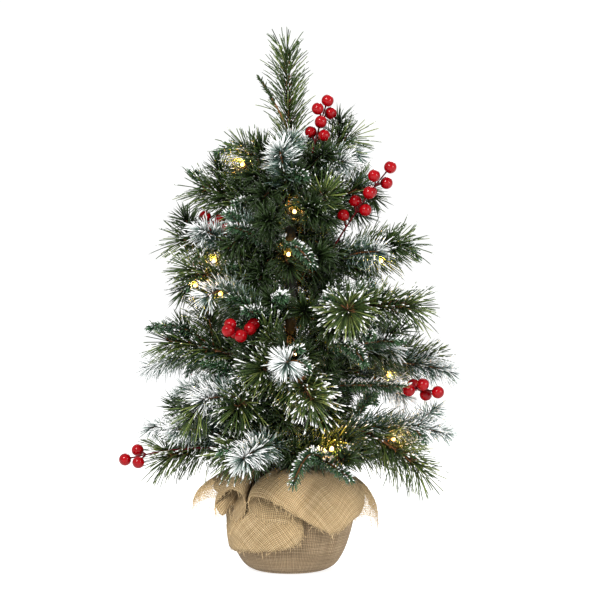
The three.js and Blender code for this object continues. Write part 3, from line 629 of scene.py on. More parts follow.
# Tips as (kind, share of the stem they leave it at, end, frost), and a bow where one has its own. The
# first is the stem's own end. Ends are (out from the pole's axis, to the left, up from the root), as the
# part itself has them.
BRANCHES = {
    "crown_left": [("pine", 0, (70, 0, 56), 0.45), ("fir", 0.35, (50, -30, 24), 0.4)],
    "crown_front": [("flocked", 0, (66, 0, 62), 0.75), ("fir", 0.3, (56, 28, 24), 0.5)],
    "crown_right": [("pine", 0, (84, 0, 61), 0.35), ("flocked", 0.3, (66, -40, 16), 0.8)],
    "crown_back": [("pine", 0, (66, 0, 56), 0.4), ("flocked", 0.3, (60, -34, 30), 0.8),
        ("pine", 0.3, (58, 34, 34), 0.4)],
    "upper_left": [("pine", 0, (121, 0, 44), 0.35), ("fir", 0.18, (62, 36, 20), 0.5),
        ("pine", 0.35, (92, -36, 34), 0.4)],
    "upper_right": [("pine", 0, (98, 0, 58), 0.3), ("pine", 0.2, (52, -52, 48), 0.3),
        ("flocked", 0.35, (80, 36, 34), 0.7)],
    "upper_front": [("fir", 0, (94, 0, 28), 0.7), ("fir", 0.2, (40, 78, -18), 0.6),
        ("fir", 0.25, (60, -26, 42), 0.7)],
    "upper_back": [("flocked", 0, (104, 0, 48), 0.8), ("pine", 0.3, (84, 44, 40), 0.4),
        ("pine", 0.3, (82, -46, 34), 0.4)],
    "spread_left": [("pine", 0, (144, 0, 40), 0.4), ("flocked", 0.35, (112, 34, 50), 0.9),
        ("flocked", 0.35, (108, -40, 36), 0.85)],
    "spread_right": [("pine", 0, (150, 0, 42), 0.4), ("flocked", 0.35, (112, -38, 28), 0.8),
        ("pine", 0.4, (112, 46, 22), 0.4)],
    "spread_back": [("pine", 0, (146, 0, 42), 0.5), ("flocked", 0.3, (104, 46, 34), 0.8),
        ("fir", 0.3, (96, -44, 20), 0.6)],
    "centre_left": [("pine", 0, (138, 0, 50), 0.35), ("flocked", 0.35, (118, 40, 12), 0.85),
        ("pine", 0.35, (112, -42, 40), 0.5)],
    "centre_front": [("fir", 0, (96, 0, 24), 0.6), ("fir", 0.3, (78, 38, 38), 0.7)],
    "centre_right": [("pine", 0, (172, 0, 20), 0.75), ("pine", 0.4, (128, -98, 10), 0.7),
        ("fir", 0.2, (84, -38, 34), 0.6)],
    "centre_back": [("flocked", 0, (160, 0, 42), 0.8), ("pine", 0.35, (122, 48, 36), 0.5),
        ("pine", 0.35, (122, -48, 34), 0.5)],
    "lower_left": [("pine", 0, (158, 0, 40), 0.55), ("flocked", 0.4, (168, -42, 4), 0.9),
        ("fir", 0.5, (160, 20, 54), 0.8)],
    "lower_front": [("flocked", 0, (158, 0, 34), 1.0), ("pine", 0.3, (156, 34, -20), 0.9),
        ("pine", 0.3, (104, -44, 20), 0.7)],
    "lower_right_front": [("fir", 0, (152, 0, 32), 0.8), ("fir", 0.35, (130, -36, 6), 0.7),
        ("flocked", 0.35, (126, 44, 20), 0.8)],
    "lower_right": [("pine", 0, (180, 0, 40), 0.5), ("flocked", 0.45, (190, -32, 20), 0.85),
        ("fir", 0.08, (132, -72, 10), 0.7, 0.02), ("flocked", 0.35, (140, 52, 20), 0.8),
        ("flocked", 0.35, (134, -34, -11), 1.0)],
    "lower_left_front": [("flocked", 0, (132, 0, 12), 0.95), ("pine", 0.35, (112, 42, -4), 0.6),
        ("flocked", 0.3, (114, -46, 16), 0.9)],
    "lower_right_back": [("pine", 0, (176, 0, 30), 0.5), ("flocked", 0.35, (154, 62, 24), 0.8),
        ("fir", 0.35, (124, -50, 20), 0.6)],
    "lower_left_back": [("flocked", 0, (176, 0, 34), 0.8), ("pine", 0.35, (154, -62, 20), 0.5),
        ("pine", 0.35, (128, 50, 26), 0.5)],
    "bottom_right": [("flocked", 0, (188, 0, 8), 0.7), ("pine", 0.35, (166, -42, -44), 0.7),
        ("pine", 0.35, (146, 50, -4), 0.6)],
    "bottom_front": [("fir", 0, (130, 0, -16), 0.8), ("fir", 0.55, (109, -62, -28), 0.9, 0.3)],
    "bottom_left_front": [("flocked", 0, (148, 0, -4), 0.9), ("pine", 0.35, (110, -46, -10), 0.6)],
    "bottom_left": [("pine", 0, (162, 0, -36), 0.6), ("flocked", 0.35, (168, -36, 4), 0.9),
        ("flocked", 0.35, (140, 44, 8), 0.9)],
    "bottom_right_back": [("pine", 0, (174, 0, -4), 0.5), ("flocked", 0.3, (136, 82, 0), 0.8),
        ("pine", 0.35, (134, -34, -14), 0.5)],
    "bottom_left_back": [("flocked", 0, (174, 0, -4), 0.8), ("pine", 0.3, (136, -82, -2), 0.5),
        ("pine", 0.35, (136, 40, -10), 0.5)],
}
HINGE = 8.7  # from the pole's axis to a branch's hinge
STEM_START = (HINGE + 0.4, 0, 0)
STEM_BOW, FIR_BOW = 0.07, 0.16
STEM_RADIUS = 1.25
THINNER, SIDE_THINNER = 0.7, 0.6  # the wire's radius at its end, as a share, for a stem and a side tip
SPRIG_WIRE = (1.0, 0.7)  # radii at the start and end of an added sprig's wire

TRUNK, POLE_TOP = 7.6, 446  # needles stay outside this radius up to this height
BOX = ("battery_case", "battery_cover", "timer_switch")
BOX_LOW = np.min([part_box(node)[0] for node in BOX], 0) / MM
BOX_HIGH = np.max([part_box(node)[1] for node in BOX], 0) / MM
BOX_CLEARING = 1.5

LEAD_OFFSET = 8.4  # from a branch's stem to the lead that is clipped along it
LEAD_START = 16
HEART = 9.5  # from a lamp's foot to the middle of its lens
LEAN_UNDER, LEAN_OVER = 2.2, 0.6  # a branch lamp's lean from upright, in radians
# For each branch that has a lead: the shares of its stem at which the lamps sit.
LEADS = {
    "crown_left": [0.62], "spread_left": [0.5], "spread_right": [0.6], "spread_back": [0.45, 0.75],
    "centre_left": [0.5, 0.72], "lower_right": [0.55], "lower_right_back": [0.5, 0.8],
    "bottom_right": [0.55], "bottom_front": [0.62], "bottom_right_back": [0.5, 0.8],
}
OVER = ("bottom_front",)  # here the lead runs above the stem

# The string's run on the pole, as (azimuth, height), and a radius where it leaves the tape.
WOUND = 9.6
DOWN_STRAND = [
    (118, 188.6, 22.4), (124, 195, 20), (140, 200, 13), (165, 201, 9.8), (190, 200), (215, 195),
    (238, 186), (246, 172), (256, 158), (266, 147), (267, 133), (267, 121), (275, 114), (300, 112),
]
UP_STRAND = [
    (170, 201.5, 9.8), (210, 199), (232, 203), (250, 215), (271, 219), (295, 226), (322, 238), (363, 242),
    (412, 244), (450, 245), (488, 247), (525, 252), (560, 255), (600, 247), (645, 238), (668, 242),
    (689, 251), (720, 266), (760, 284), (794, 290), (830, 296), (870, 301), (908, 308), (935, 321),
    (962, 332), (985, 348), (1010, 354), (1072, 350), (1120, 348), (1176, 351), (1220, 358), (1263, 364),
    (1300, 376), (1322, 385), (1342, 388), (1365, 395), (1400, 400), (1440, 404), (1490, 402),
    (1528, 397), (1570, 402), (1610, 408), (1640, 408), (1665, 412),
]
POLE_LAMPS = [(645, 238), (985, 348), (1365, 395), (760, 284), (1220, 358), (488, 247)]
POLE_LAMP_FOOT = 10.0  # radius


def bow_of(kind):
    return FIR_BOW if kind == "fir" else STEM_BOW


def shortened(start, end, bow, short):
    """The arch to end, stopped short of it by that many millimetres."""
    whole = Arch(start, end, bow)
    back = 1 - short / whole.length
    return Arch(start, whole.at(back), bow * back)


def on_pole(azimuth, height, radius=WOUND):
    turn = math.radians(azimuth)
    return np.array([radius * math.cos(turn), radius * math.sin(turn), height])


def on_lead(name, share):
    """A point of a branch's lead, at that share of its stem, in the branch's own coordinates."""
    stem = Arch(STEM_START, BRANCHES[name][0][2], STEM_BOW)
    side = 1 if name in OVER else -1
    return stem.at(share) + side * LEAD_OFFSET * min(1, share / 0.2 + 0.35) * UP


def lamp_way(name):
    """The direction in which the lamps on a branch's lead point."""
    lean = LEAN_OVER if name in OVER else LEAN_UNDER
    return math.sin(lean), 0, math.cos(lean)


def lamp_hearts():
    """The middle of every lamp's lens in the row frame, in millimetres."""
    hearts = [on_pole(*stop, POLE_LAMP_FOOT + HEART) for stop in POLE_LAMPS]
    for name, shares in LEADS.items():
        for share in shares:
            heart = on_lead(name, share) + HEART * np.array(lamp_way(name))
            hearts.append(np.array(to_row(*heart, branch_frame(name))))
    return hearts


BERRY = 6.8  # radius
BERRY_BOW = 0.04
PAIR_TURN = 0.9  # radians from one pair of berries to the next round their wire
STALK_LENGTH, STALK_SLANT = 9.6, 9.0
# For each spray: the ends of its wire, its berries, and how far apart their pairs are.
BERRIES = {
    "crown_right": ((22, -10, 26), (40, -16, 90), 7, 13.5),
    "spread_left": ((44, 4, 24), (94, -6, 64), 5, 15),
    "spread_right": ((42, -12, 24), (112, -30, 122), 8, 19),
    "centre_front": ((40, -4, -6), (112, -10, 4), 6, 13),
    "centre_back": ((46, -6, 34), (120, -12, 76), 6, 16),
    "lower_right": ((70, -16, 8), (158, -50, 4), 5, 15),
    "bottom_left": ((70, 16, -12), (182, 12, -24), 3, 14),
}


def berry_places(start, end, count, step):
    """The wire of a spray, and each berry's middle with the place where its stalk leaves the wire."""
    wire = Arch(start, end, BERRY_BOW)
    along = unit(wire.end - wire.start)
    side = unit(np.cross(UP, along))
    over = np.cross(along, side)
    span = np.linalg.norm(wire.end - wire.start)
    places = []
    for i in range(count):
        pair = math.ceil(i / 2)
        share = 1 - pair * step / span
        turn = math.pi / 2 + i * math.pi + pair * PAIR_TURN
        lean = side * math.cos(turn) + over * math.sin(turn)
        root = wire.at(share - STALK_SLANT / span)
        places.append((wire.at(share) + lean * (STALK_LENGTH if i else 0), root))
    return wire, places


BEHIND = 12  # lamps further back than this have no clearing
LAMP_CLEARING = 4.5  # no needle hides a lamp from the front within this radius
BERRY_CLEARING = 6.0
POLE_CLEARING = 4.6
POLE_SHOWS = (256, 264, 272, 366, 374)  # heights where the pole shows between the branches
HIDDEN = ("centre_back", "spread_left")  # sprays that needles may hide


def seen_from_the_front():
    """Rows of x, y, z and radius: what needles leave in view from the front."""
    rows = [(*heart, LAMP_CLEARING) for heart in lamp_hearts() if heart[1] < BEHIND]
    rows += [(0, -TRUNK - 3, height, POLE_CLEARING) for height in POLE_SHOWS]
    for name, spray in BERRIES.items():
        for berry, _ in berry_places(*spray)[1]:
            if name not in HIDDEN:
                rows.append((*to_row(*berry, branch_frame(name)), BERRY_CLEARING))
    return rows


IN_VIEW = seen_from_the_front()


def fit(made, body, slot, *nodes):
    """The object moves with that body and stands for those CAD nodes. The slot is not used."""
    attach(made, body)
    if nodes:
        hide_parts(*nodes)


OUTLINE = ((95, 112), (130, 178), (200, 182), (330, 140), (420, 88), (480, 45), (600, 12))  # height, radius
INNER = 6  # sprigs added to each branch, or fewer at the crown
INNER_AT_CROWN = 3
CROWN = 400  # roots above this height are the crown's
LOWEST = 132  # added sprigs stay above the burlap
SHORT_OF_OUTLINE, FORWARD_SHORT = 58, 88  # how far inside the outline they end, and if they point forward
FORWARD_KINDS = ("fir", "inner", "fir")
OTHER_KINDS = ("pine", "inner", "fir", "flocked", "inner", "fir")
SPRIG_LEANS, SPRIG_LENGTHS = (38, 68), (44, 78)  # degrees from the stem, and millimetres
COLLAR = 4  # dark sprigs added at each branch's root
COLLAR_LENGTHS = (36, 56)
COLLAR_TURNS, COLLAR_CLIMBS = (-62, 62, -25, 25), (25, -20, -42, 48)  # degrees


def reach_at(height):
    """How far from the pole's axis the tree's outline is at that height, in millimetres."""
    return np.interp(height, *zip(*OUTLINE))


def inner_sprigs(number, stem, azimuth, root, rng):
    """Short sprigs between a branch's own tips, which fill the tree out towards its pole.

    Most of them grow across the tree's width more than towards its front or back.
    """
    total = INNER_AT_CROWN if root > CROWN else INNER
    for k in range(total):
        share = 0.1 + 0.72 * (k + rng.random()) / total
        start = stem.at(share)
        way = stem.along(share)
        side, over = across(way)
        lean = math.radians(rng.uniform(*SPRIG_LEANS))
        choices = []
        for turn in (k + number) * 2.4 + rng.normal(0, 0.3) + np.array([0.0, 1.9, 3.8]):
            axis = math.cos(lean) * way + math.sin(lean) * (math.cos(turn) * side + math.sin(turn) * over)
            choices.append((abs(math.sin(azimuth) * axis[0] + math.cos(azimuth) * axis[1]), tuple(axis)))
        axis = np.array(min(choices)[1] if k % 4 else choices[0][1])
        forward = math.sin(azimuth) * axis[0] + math.cos(azimuth) * axis[1] < -0.25
        length = rng.uniform(*SPRIG_LENGTHS) * (1.1 - 0.45 * share)
        end = start + axis * length
        limit = reach_at(root + end[2]) - (FORWARD_SHORT if forward else SHORT_OF_OUTLINE)
        out = math.hypot(end[0], end[1])
        if out > limit:
            end = start + (end - start) * max(0.5, 1 - (out - limit) / length)
        end[2] = max(end[2], LOWEST - root)
        kinds = FORWARD_KINDS if forward else OTHER_KINDS
        kind = kinds[(k + number) % len(kinds)]
        frost = rng.uniform(0.1, 0.3) + 0.3 * share + 0.2 * forward
        yield kind, Arch(start, end, bow_of(kind)), frost


def collar(stem, root, rng):
    """Short dark sprigs close to the pole, on both sides of a branch and above and below it."""
    for k in range(COLLAR):
        start = stem.at(rng.uniform(0.02, 0.12))
        turn = math.radians(COLLAR_TURNS[k % 4] + rng.uniform(-12, 12))
        climb = math.radians(COLLAR_CLIMBS[k % 4] + rng.uniform(-12, 12))
        axis = np.array([math.cos(turn) * math.cos(climb), math.sin(turn) * math.cos(climb), math.sin(climb)])
        end = start + axis * min(rng.uniform(*COLLAR_LENGTHS), reach_at(root) * 0.55)
        end[2] = max(end[2], LOWEST - root)
        yield Arch(start, end, STEM_BOW)


def enters_box(curve, place):
    """Whether a sprig's wire would run into the battery box."""
    points = np.stack(to_row(*curve.at(np.linspace(0, 1, 60)).T, place), 1)
    return ((points > BOX_LOW - BOX_CLEARING) & (points < BOX_HIGH + BOX_CLEARING)).all(1).any()


FLECKS = 0.45  # scraps of stem strip for each millimetre of a pine sprig
FLECK_LENGTHS, FLECK_LEANS = (7, 13), (25, 80)  # millimetres, and degrees from the stem
FLECK_WIDTH, FLECK_THICK, FLECK_TAPERS = 1.6, 0.6, 0.6  # the last is the share of its length it tapers from


def flecks(wood, curve, rng):
    """Brown scraps of the stem's own strip that stick out between the pine needles."""
    count = int(curve.length * FLECKS)
    t = rng.uniform(0.15, 1.0, count)
    way = curve.along(t)
    side, over = across(way)
    turn = rng.uniform(0, 2 * math.pi, (count, 1))
    lean = np.radians(rng.uniform(*FLECK_LEANS, (count, 1)))
    axis = np.cos(lean) * way + np.sin(lean) * (np.cos(turn) * side + np.sin(turn) * over)
    length = rng.uniform(*FLECK_LENGTHS, (count, 1))
    flat = unit(np.cross(axis, way))
    thick = np.cross(axis, flat)
    points = []
    for s in (0.0, FLECK_TAPERS):
        middle = curve.at(t) + axis * length * s
        points += [middle + flat * x * FLECK_WIDTH + thick * y * FLECK_THICK for x, y in CORNERS]
    points.append(curve.at(t) + axis * length)
    faces = needle_faces(2)[None] + (np.arange(count) * 7)[:, None, None]
    wood.add(np.stack(points, 1).reshape(-1, 3), faces.reshape(-1, 3))


def build_branch(number, name, tips):
    """One branch: its wires and its needles of each kind. Sprigs that would run into the battery box
    are grown aside and left out.
    """
    node = f"branch_{name}"
    place = branch_frame(name)
    rng = np.random.default_rng(1000 + number)
    foliage = {kind: Shape("tone", "along", "edge") for kind in ("pine", "flocked", "fir")}
    wood = Shape()
    stem = Arch(STEM_START, tips[0][2], STEM_BOW)
    for kind, share, end, frost, *own_bow in tips:
        own = share == 0
        start, bow = (stem.start, STEM_BOW) if own else (stem.at(share), *(own_bow or [bow_of(kind)]))
        curve = shortened(start, end, bow, NEEDLES[kind]["short"])
        thin = STEM_RADIUS * (THINNER if own else SIDE_THINNER)
        bar(wood, curve, 18, STEM_RADIUS, thin, sides=7)
        grow(foliage[kind], curve, 0.2 if own else 0.06, kind, frost, rng, place=place)
        if kind == "pine":
            flecks(wood, curve, rng)
    left_out = Shape("tone", "along", "edge")
    for kind, curve, frost in inner_sprigs(number, stem, *place, rng):
        blocked = enters_box(curve, place)
        needles = left_out if blocked else foliage[kind if kind in foliage else "pine"]
        grow(needles, curve, 0.08, kind, frost, rng, scale=0.9, place=place)
        if not blocked:
            bar(wood, curve, 10, *SPRIG_WIRE, sides=6)
    for curve in collar(stem, place[1], rng):
        blocked = enters_box(curve, place)
        grow(left_out if blocked else foliage["pine"], curve, 0.05, "inner", 0.3, rng, place=place)
        if not blocked:
            bar(wood, curve, 8, *SPRIG_WIRE, sides=5)
    for kind, shape in foliage.items():
        if shape.count:
            fit(shape.make(f"{kind}_{name}", PAINT[kind], place), name, f"{kind}_foliage", node)
    fit(wood.make(f"stems_{name}", PAINT["stem"], place), name, "branch_wire", node)


# ---------------------------------------------------------------- leader

LEADER = Arch((0, 0, 432), (-4, 0, 570), 0)
TWIG = Arch((-1, 0, 486), (-33, -8, 542), 0.03)


def build_leader():
    """The long-needled top and the one thin twig beside it."""
    rng = np.random.default_rng(2000)
    foliage = Shape("tone", "along", "edge")
    wood = Shape()
    bar(wood, LEADER, 24, 1.6, 0.8)
    grow(foliage, LEADER, 0.06, "pine", 0.2, rng, scale=0.94, open_by=-6)
    bar(wood, TWIG, 12, 1.2, 0.8)
    grow(foliage, TWIG, 0.45, "inner", 0.0, rng, scale=0.24, open_by=-36)
    flecks(wood, LEADER, rng)
    fit(foliage.make("pine_leader", PAINT["pine"]), "root", "pine_foliage", "leader_tip")
    fit(wood.make("stem_leader", PAINT["stem"]), "root", "branch_wire", "leader_tip")


# ---------------------------------------------------------------- berries

def build_berries(name, start, end, count, step):
    """One spray: its wire, and glossy berries in pairs on short stalks."""
    rng = np.random.default_rng(3000 + len(name) + count)
    place = branch_frame(name)
    wire, places = berry_places(start, end, count, step)
    fruit = Shape("shade")
    stalks = Shape()
    bar(stalks, wire, 22, 1.15, 0.8, until=0.97)
    for centre, root in places:
        pole = unit(root - centre)
        stem = Arch(root, centre + pole * BERRY * 0.8, 0.05)
        bar(stalks, stem, 9, 0.9, 1.2)
        size = BERRY * rng.uniform(0.97, 1.03)
        ball(fruit, centre, size, pole, rings=18, sides=28, dimple=0.10, shade=0.85)
        ball(stalks, centre + pole * size * 0.93, 0.95, rings=6, sides=10)
    node = f"berries_{name}"
    fit(fruit.make(node.replace("berries", "fruit"), PAINT["berry"], place), name, "berry_red", node)
    fit(stalks.make(node.replace("berries", "stalks"), PAINT["stalk"], place), name, "berry_wire", node)


# ---------------------------------------------------------------- lamp string

def spline(points, step, closed=False):
    """Points about step apart on a smooth curve through points."""
    points = np.asarray(points, float)
    if closed:
        padded = np.concatenate([points[-1:], points, points[:2]])
    else:
        padded = np.concatenate([2 * points[:1] - points[1:2], points, 2 * points[-1:] - points[-2:-1]])
    out = []
    for a, b, c, d in zip(padded, padded[1:], padded[2:], padded[3:]):
        count = max(2, int(np.linalg.norm(c - b) / step))
        t = (np.arange(count) / count)[:, None]
        curved = (2 * a - 5 * b + 4 * c - d) * t**2 + (3 * b - a - 3 * c + d) * t**3
        out.append(0.5 * (2 * b + (c - a) * t + curved))
    if not closed:
        out.append(points[-1:])
    return np.concatenate(out)


def twisted_pair(shape, points, pitch=7.0, radius=0.52):
    """Two insulated wires twisted round each other along a curve."""
    path = spline(points, 0.9)
    way = unit(np.gradient(path, axis=0))
    side, over = across(way)
    travel = np.concatenate([[0], np.cumsum(np.linalg.norm(np.diff(path, axis=0), axis=1))])
    turn = (travel * 2 * math.pi / pitch)[:, None]
    twist = radius * (np.cos(turn) * side + np.sin(turn) * over)
    for sign in (1, -1):
        tube(shape, path + sign * twist, radius, 6)


# A lamp's sleeve and its lens, as (distance from its foot, radius).
SLEEVE = [(0, 1.2), (0.4, 1.7), (2.4, 1.9), (6.2, 2.1), (6.6, 2.15), (7.0, 1.9)]
DOME = [(6.9, 1.9), (8.2, 2.25), (9.6, 2.2), (10.6, 1.7), (11.2, 0.9), (11.4, 0.2)]
LAMP_SIDES = 14


def lamp(holder, lens, at, way):
    """A green sleeve with a rounded glowing lens in its end. Returns the middle of the lens."""
    at, way = np.array(at, float), unit(np.array(way, float))
    tube(holder, [at + way * d for d, _ in SLEEVE], [r for _, r in SLEEVE], LAMP_SIDES)
    shade = np.linspace(0, 1, len(DOME)) ** 0.7
    shades = np.append(np.repeat(shade, LAMP_SIDES), shade[[0, -1]])
    tube(lens, [at + way * d for d, _ in DOME], [r for _, r in DOME], LAMP_SIDES, shade=shades)
    return at + way * HEART


GLOW = 0.22  # watts of warm light from each lamp
GLOW_AT_POLE = 0.06  # and from those close to the pole
GLOW_COLOUR = (1.0, 0.50, 0.10)
GLOW_LIFT = 2  # each warm light is this far above its lens


def build_lamps(name, lamps, wires, body, node, place=(0.0, 0.0)):
    """The lead along wires, its lamps, and a small warm light at each lens, all on one body."""
    lead = Shape()
    lens = Shape("shade")
    for points in wires:
        twisted_pair(lead, points)
    hearts = [lamp(lead, lens, at, way) for at, way in lamps]
    fit(lead.make(f"lead_{name}", PAINT["lead"], place), body, "lead_green", node)
    glass = lens.make(f"lenses_{name}", PAINT["lens"], place)
    fit(glass, body, "lamp_lens", node)
    for number, heart in enumerate(hearts):
        data = bpy.data.lights.new(f"glow_{name}_{number}", "POINT")
        data.color = GLOW_COLOUR
        data.energy = GLOW if body != "root" else GLOW_AT_POLE
        data.shadow_soft_size = 0.002
        light = put(f"glow_{name}_{number}", data)
        x, y, z = to_row(*heart, place)
        light.location = (x * MM, y * MM, (z + GLOW_LIFT) * MM)
        light.parent = glass


def branch_lead(name, shares):
    """The lead clipped along a branch, with its lamps."""
    first = LEAD_START / BRANCHES[name][0][2][0]
    wire = [on_lead(name, first + (max(shares) - first) * i / 5) for i in range(6)]
    lamps = [(on_lead(name, share), lamp_way(name)) for share in shares]
    build_lamps(name, lamps, [wire], name, f"lamps_{name}", branch_frame(name))


def pole_string():
    """Both strands wound on the pole, with the lamps near it."""
    wires = [[on_pole(*stop) for stop in route] for route in (DOWN_STRAND, UP_STRAND)]
    lamps = [(on_pole(*stop, POLE_LAMP_FOOT), on_pole(stop[0], 0, 1)) for stop in POLE_LAMPS]
    build_lamps("pole", lamps, wires, "root", "lamp_string")


# ---------------------------------------------------------------- burlap

NECK_RADIUS = 9.6
NECK_HEIGHT = 99
CLOTH = 1.1  # thickness

# The bag's outline, as (radius, height), from under the pot to the neck.
BAG = [
    (0, 0.8), (20, 0.8), (34, 0.8), (43, 2.5), (52, 9), (60, 22), (66, 38), (70, 53), (71, 63),
    (68, 73), (58, 81), (42, 87), (24, 91), (13, 94.5), (NECK_RADIUS, NECK_HEIGHT),
]
BAG_COLUMNS = 240
PLEATS = 18  # folds that gather the bag's top
CREASES = ((5.55, 0.07, 1.0), (5.42, 0.06, -0.7))  # azimuth and half width in radians, and strength
BAG_WAVE, BAG_CREASE, BAG_PLEAT = 1.4, 1.6, 2.2  # millimetres that each stands out
ROUND_FOOT = 48  # the cloth's run from the middle of the underside over which its weave is a flat disc


def round_pole(radius, turn, height):
    """Points at that radius, azimuth and height round the pole's axis."""
    x, y = radius * np.cos(turn), radius * np.sin(turn)
    return np.stack([x, y, np.broadcast_to(height, x.shape)], -1)


def sheet_object(name, points, flat, paint):
    """A woven sheet through rings of points, with its places on the flat cloth as its UV map."""
    rows, columns = points.shape[:2]
    data = bpy.data.meshes.new(name)
    r, c = np.meshgrid(np.arange(rows - 1), np.arange(columns), indexing="ij")
    right = (c + 1) % columns
    this, above = r * columns, (r + 1) * columns
    corner = np.stack([this + c, this + right, above + right, above + c], -1)
    data.from_pydata((points.reshape(-1, 3) * MM).tolist(), [], corner.reshape(-1, 4).tolist())
    where = np.stack([flat[r, c], flat[r, c + 1], flat[r + 1, c + 1], flat[r + 1, c]], 2).reshape(-1, 2)
    layer = data.uv_layers.new(name="cloth")
    layer.data.foreach_set("uv", (where * MM).astype(np.float32).ravel())
    data.polygons.foreach_set("use_smooth", np.ones(len(data.polygons), bool))
    data.materials.append(PAINT[paint])
    made = put(name, data)
    thicken = made.modifiers.new("thickness", "SOLIDIFY")
    thicken.thickness = CLOTH * MM
    thicken.offset = 0
    return made


def soft_noise(x, y, seed):
    """A smooth height, about -1 to 1, that wanders with x and y. It closes when x goes once round."""
    rng = np.random.default_rng(seed)
    total = 0
    for k in range(1, 10):
        size = rng.normal() / k**0.8
        total = total + size * np.sin(k * x + rng.uniform(0, 7) + rng.normal(0, 1.4) * y)
    return total / 2.2


def build_bag():
    """The burlap round the pot, from under it to the neck."""
    outline = spline(BAG, 1.6)
    turn = np.arange(BAG_COLUMNS) * 2 * math.pi / BAG_COLUMNS
    radius, height = outline[:, :1], outline[:, 1:]
    travel = np.concatenate([[0], np.cumsum(np.hypot(*np.diff(outline, axis=0).T))])[:, None]
    side = np.clip((height - 6) / 30, 0, 1) * np.clip((100 - height) / 14, 0, 1)
    top = np.clip((height - 60) / 22, 0, 1)
    wave = soft_noise(turn, height / 24, 11)
    pleats = np.sin(PLEATS * turn + 1.2 * np.sin(3 * turn)) * np.clip(radius / 60, 0.06, 1)
    crease = sum(size * np.exp(-(((turn - middle) / half) ** 2)) for middle, half, size in CREASES)
    bulge = BAG_WAVE * wave * side + BAG_CREASE * crease * side
    bulge = bulge + top * BAG_PLEAT * pleats * np.clip((radius - 9) / 20, 0, 1)
    radius = radius + np.where(radius > 30, bulge, 0)
    height = height + top * 2.0 * wave * (radius > 14)
    points = round_pole(radius, turn, height)
    around = np.append(turn, 2 * math.pi)
    low = travel < ROUND_FOOT
    flat_x = np.where(low, travel * np.cos(around), 64 * around)
    flat_y = np.where(low, travel * np.sin(around), travel)
    flat = np.stack([flat_x, flat_y], -1)
    # the bag's weave is the skirt's jute darkened as painted shade
    made = sheet_object("burlap_bag", points, flat, "bag")
    fit(made, "root", "burlap", "burlap_wrap")
    return made


# The turned-over top's edge, as (azimuth, radius, height, lift, loose). It goes round to the left and
# turns back on itself where the cloth folds. lift keeps the layers of a fold apart at its crest, and
# loose is how far the weave has come apart towards the edge there.
HEM = [
    (-9, 99, 59, 1, 1), (-18, 96, 61, 2, 0.9), (-27, 92, 64, 3, 0.3), (-35, 90, 64, 4, 0),
    (-46, 89, 56, 5, 0), (-58, 88, 49, 6, 0), (-68, 87, 55, 7, 0), (-79, 87, 64, 7, 0), (-95, 86, 79, 7, 0),
    (-110, 86, 89, 6, 0), (-120, 83, 88, 4, 0), (-124, 79, 80, 1, 0), (-121, 75, 70, -2, 0),
    (-112, 74, 63, -3, 0), (-95, 76, 60, -3, 0), (-81, 77, 54, -3, 0), (-80, 75, 43, -5, 0),
    (-88, 74, 35, -7, 0), (-106, 72, 30, -8, 0), (-124, 71, 28, -8, 0), (-141, 71, 26, -7, 0),
    (-155, 72, 28, -5, 0), (-156, 73, 40, -3, 0), (-148, 73, 52, -1, 0), (-138, 74, 61, 0, 0),
    (-130, 76, 70, 1, 0), (-127, 79, 81, 3, 0), (-129, 83, 91, 5, 0), (-136, 86, 95, 6, 0),
    (-144, 88, 90, 5, 0), (-150, 93, 77, 3, 0), (-150, 93, 66, 1, 0.2), (-146, 88, 65, -1, 0),
    (-146, 81, 72, -3, 0), (-148, 72, 78, -5, 0), (-153, 67, 82, -7, 0), (-161, 74, 83, -6, 0),
    (-167, 88, 81, -4, 0.4), (-171, 101, 75, -2, 1), (-178, 107, 71, 0, 1), (174, 103, 77, 1, 0.5),
    (162, 92, 90, 3, 0), (147, 86, 88, 2, 0), (134, 88, 76, 0, 0), (118, 86, 84, 2, 0), (104, 90, 72, 1, 0),
    (88, 95, 60, 2, 0), (72, 99, 54, 2, 0), (60, 101, 56, 2, 0.5), (48, 96, 66, 3, 0), (36, 88, 82, 3, 0),
    (24, 82, 88, 2, 0), (12, 86, 79, 0, 0), (0, 92, 68, 0, 0.6),
]
LOOSE = 0.30  # the most of the cloth's run from neck to edge that may come apart
THREAD = 0.34  # radius of a jute thread
GATHERS = 26  # folds at the neck
CREST_RADIUS, CREST_HEIGHT = 24, 124  # the pull that turns the cloth over above the neck
SHOULDER_RISE, SHOULDER_LOW = 12, 109  # how far the fall starts above the edge, and the least it may be
OVER_BAG = 15  # how much further out the low parts of the edge hang, to pass the bag
RIPPLES, RIPPLE, DRAPE = 31, 1.1, 1.3  # fine folds, their height, and the height of the broad ones


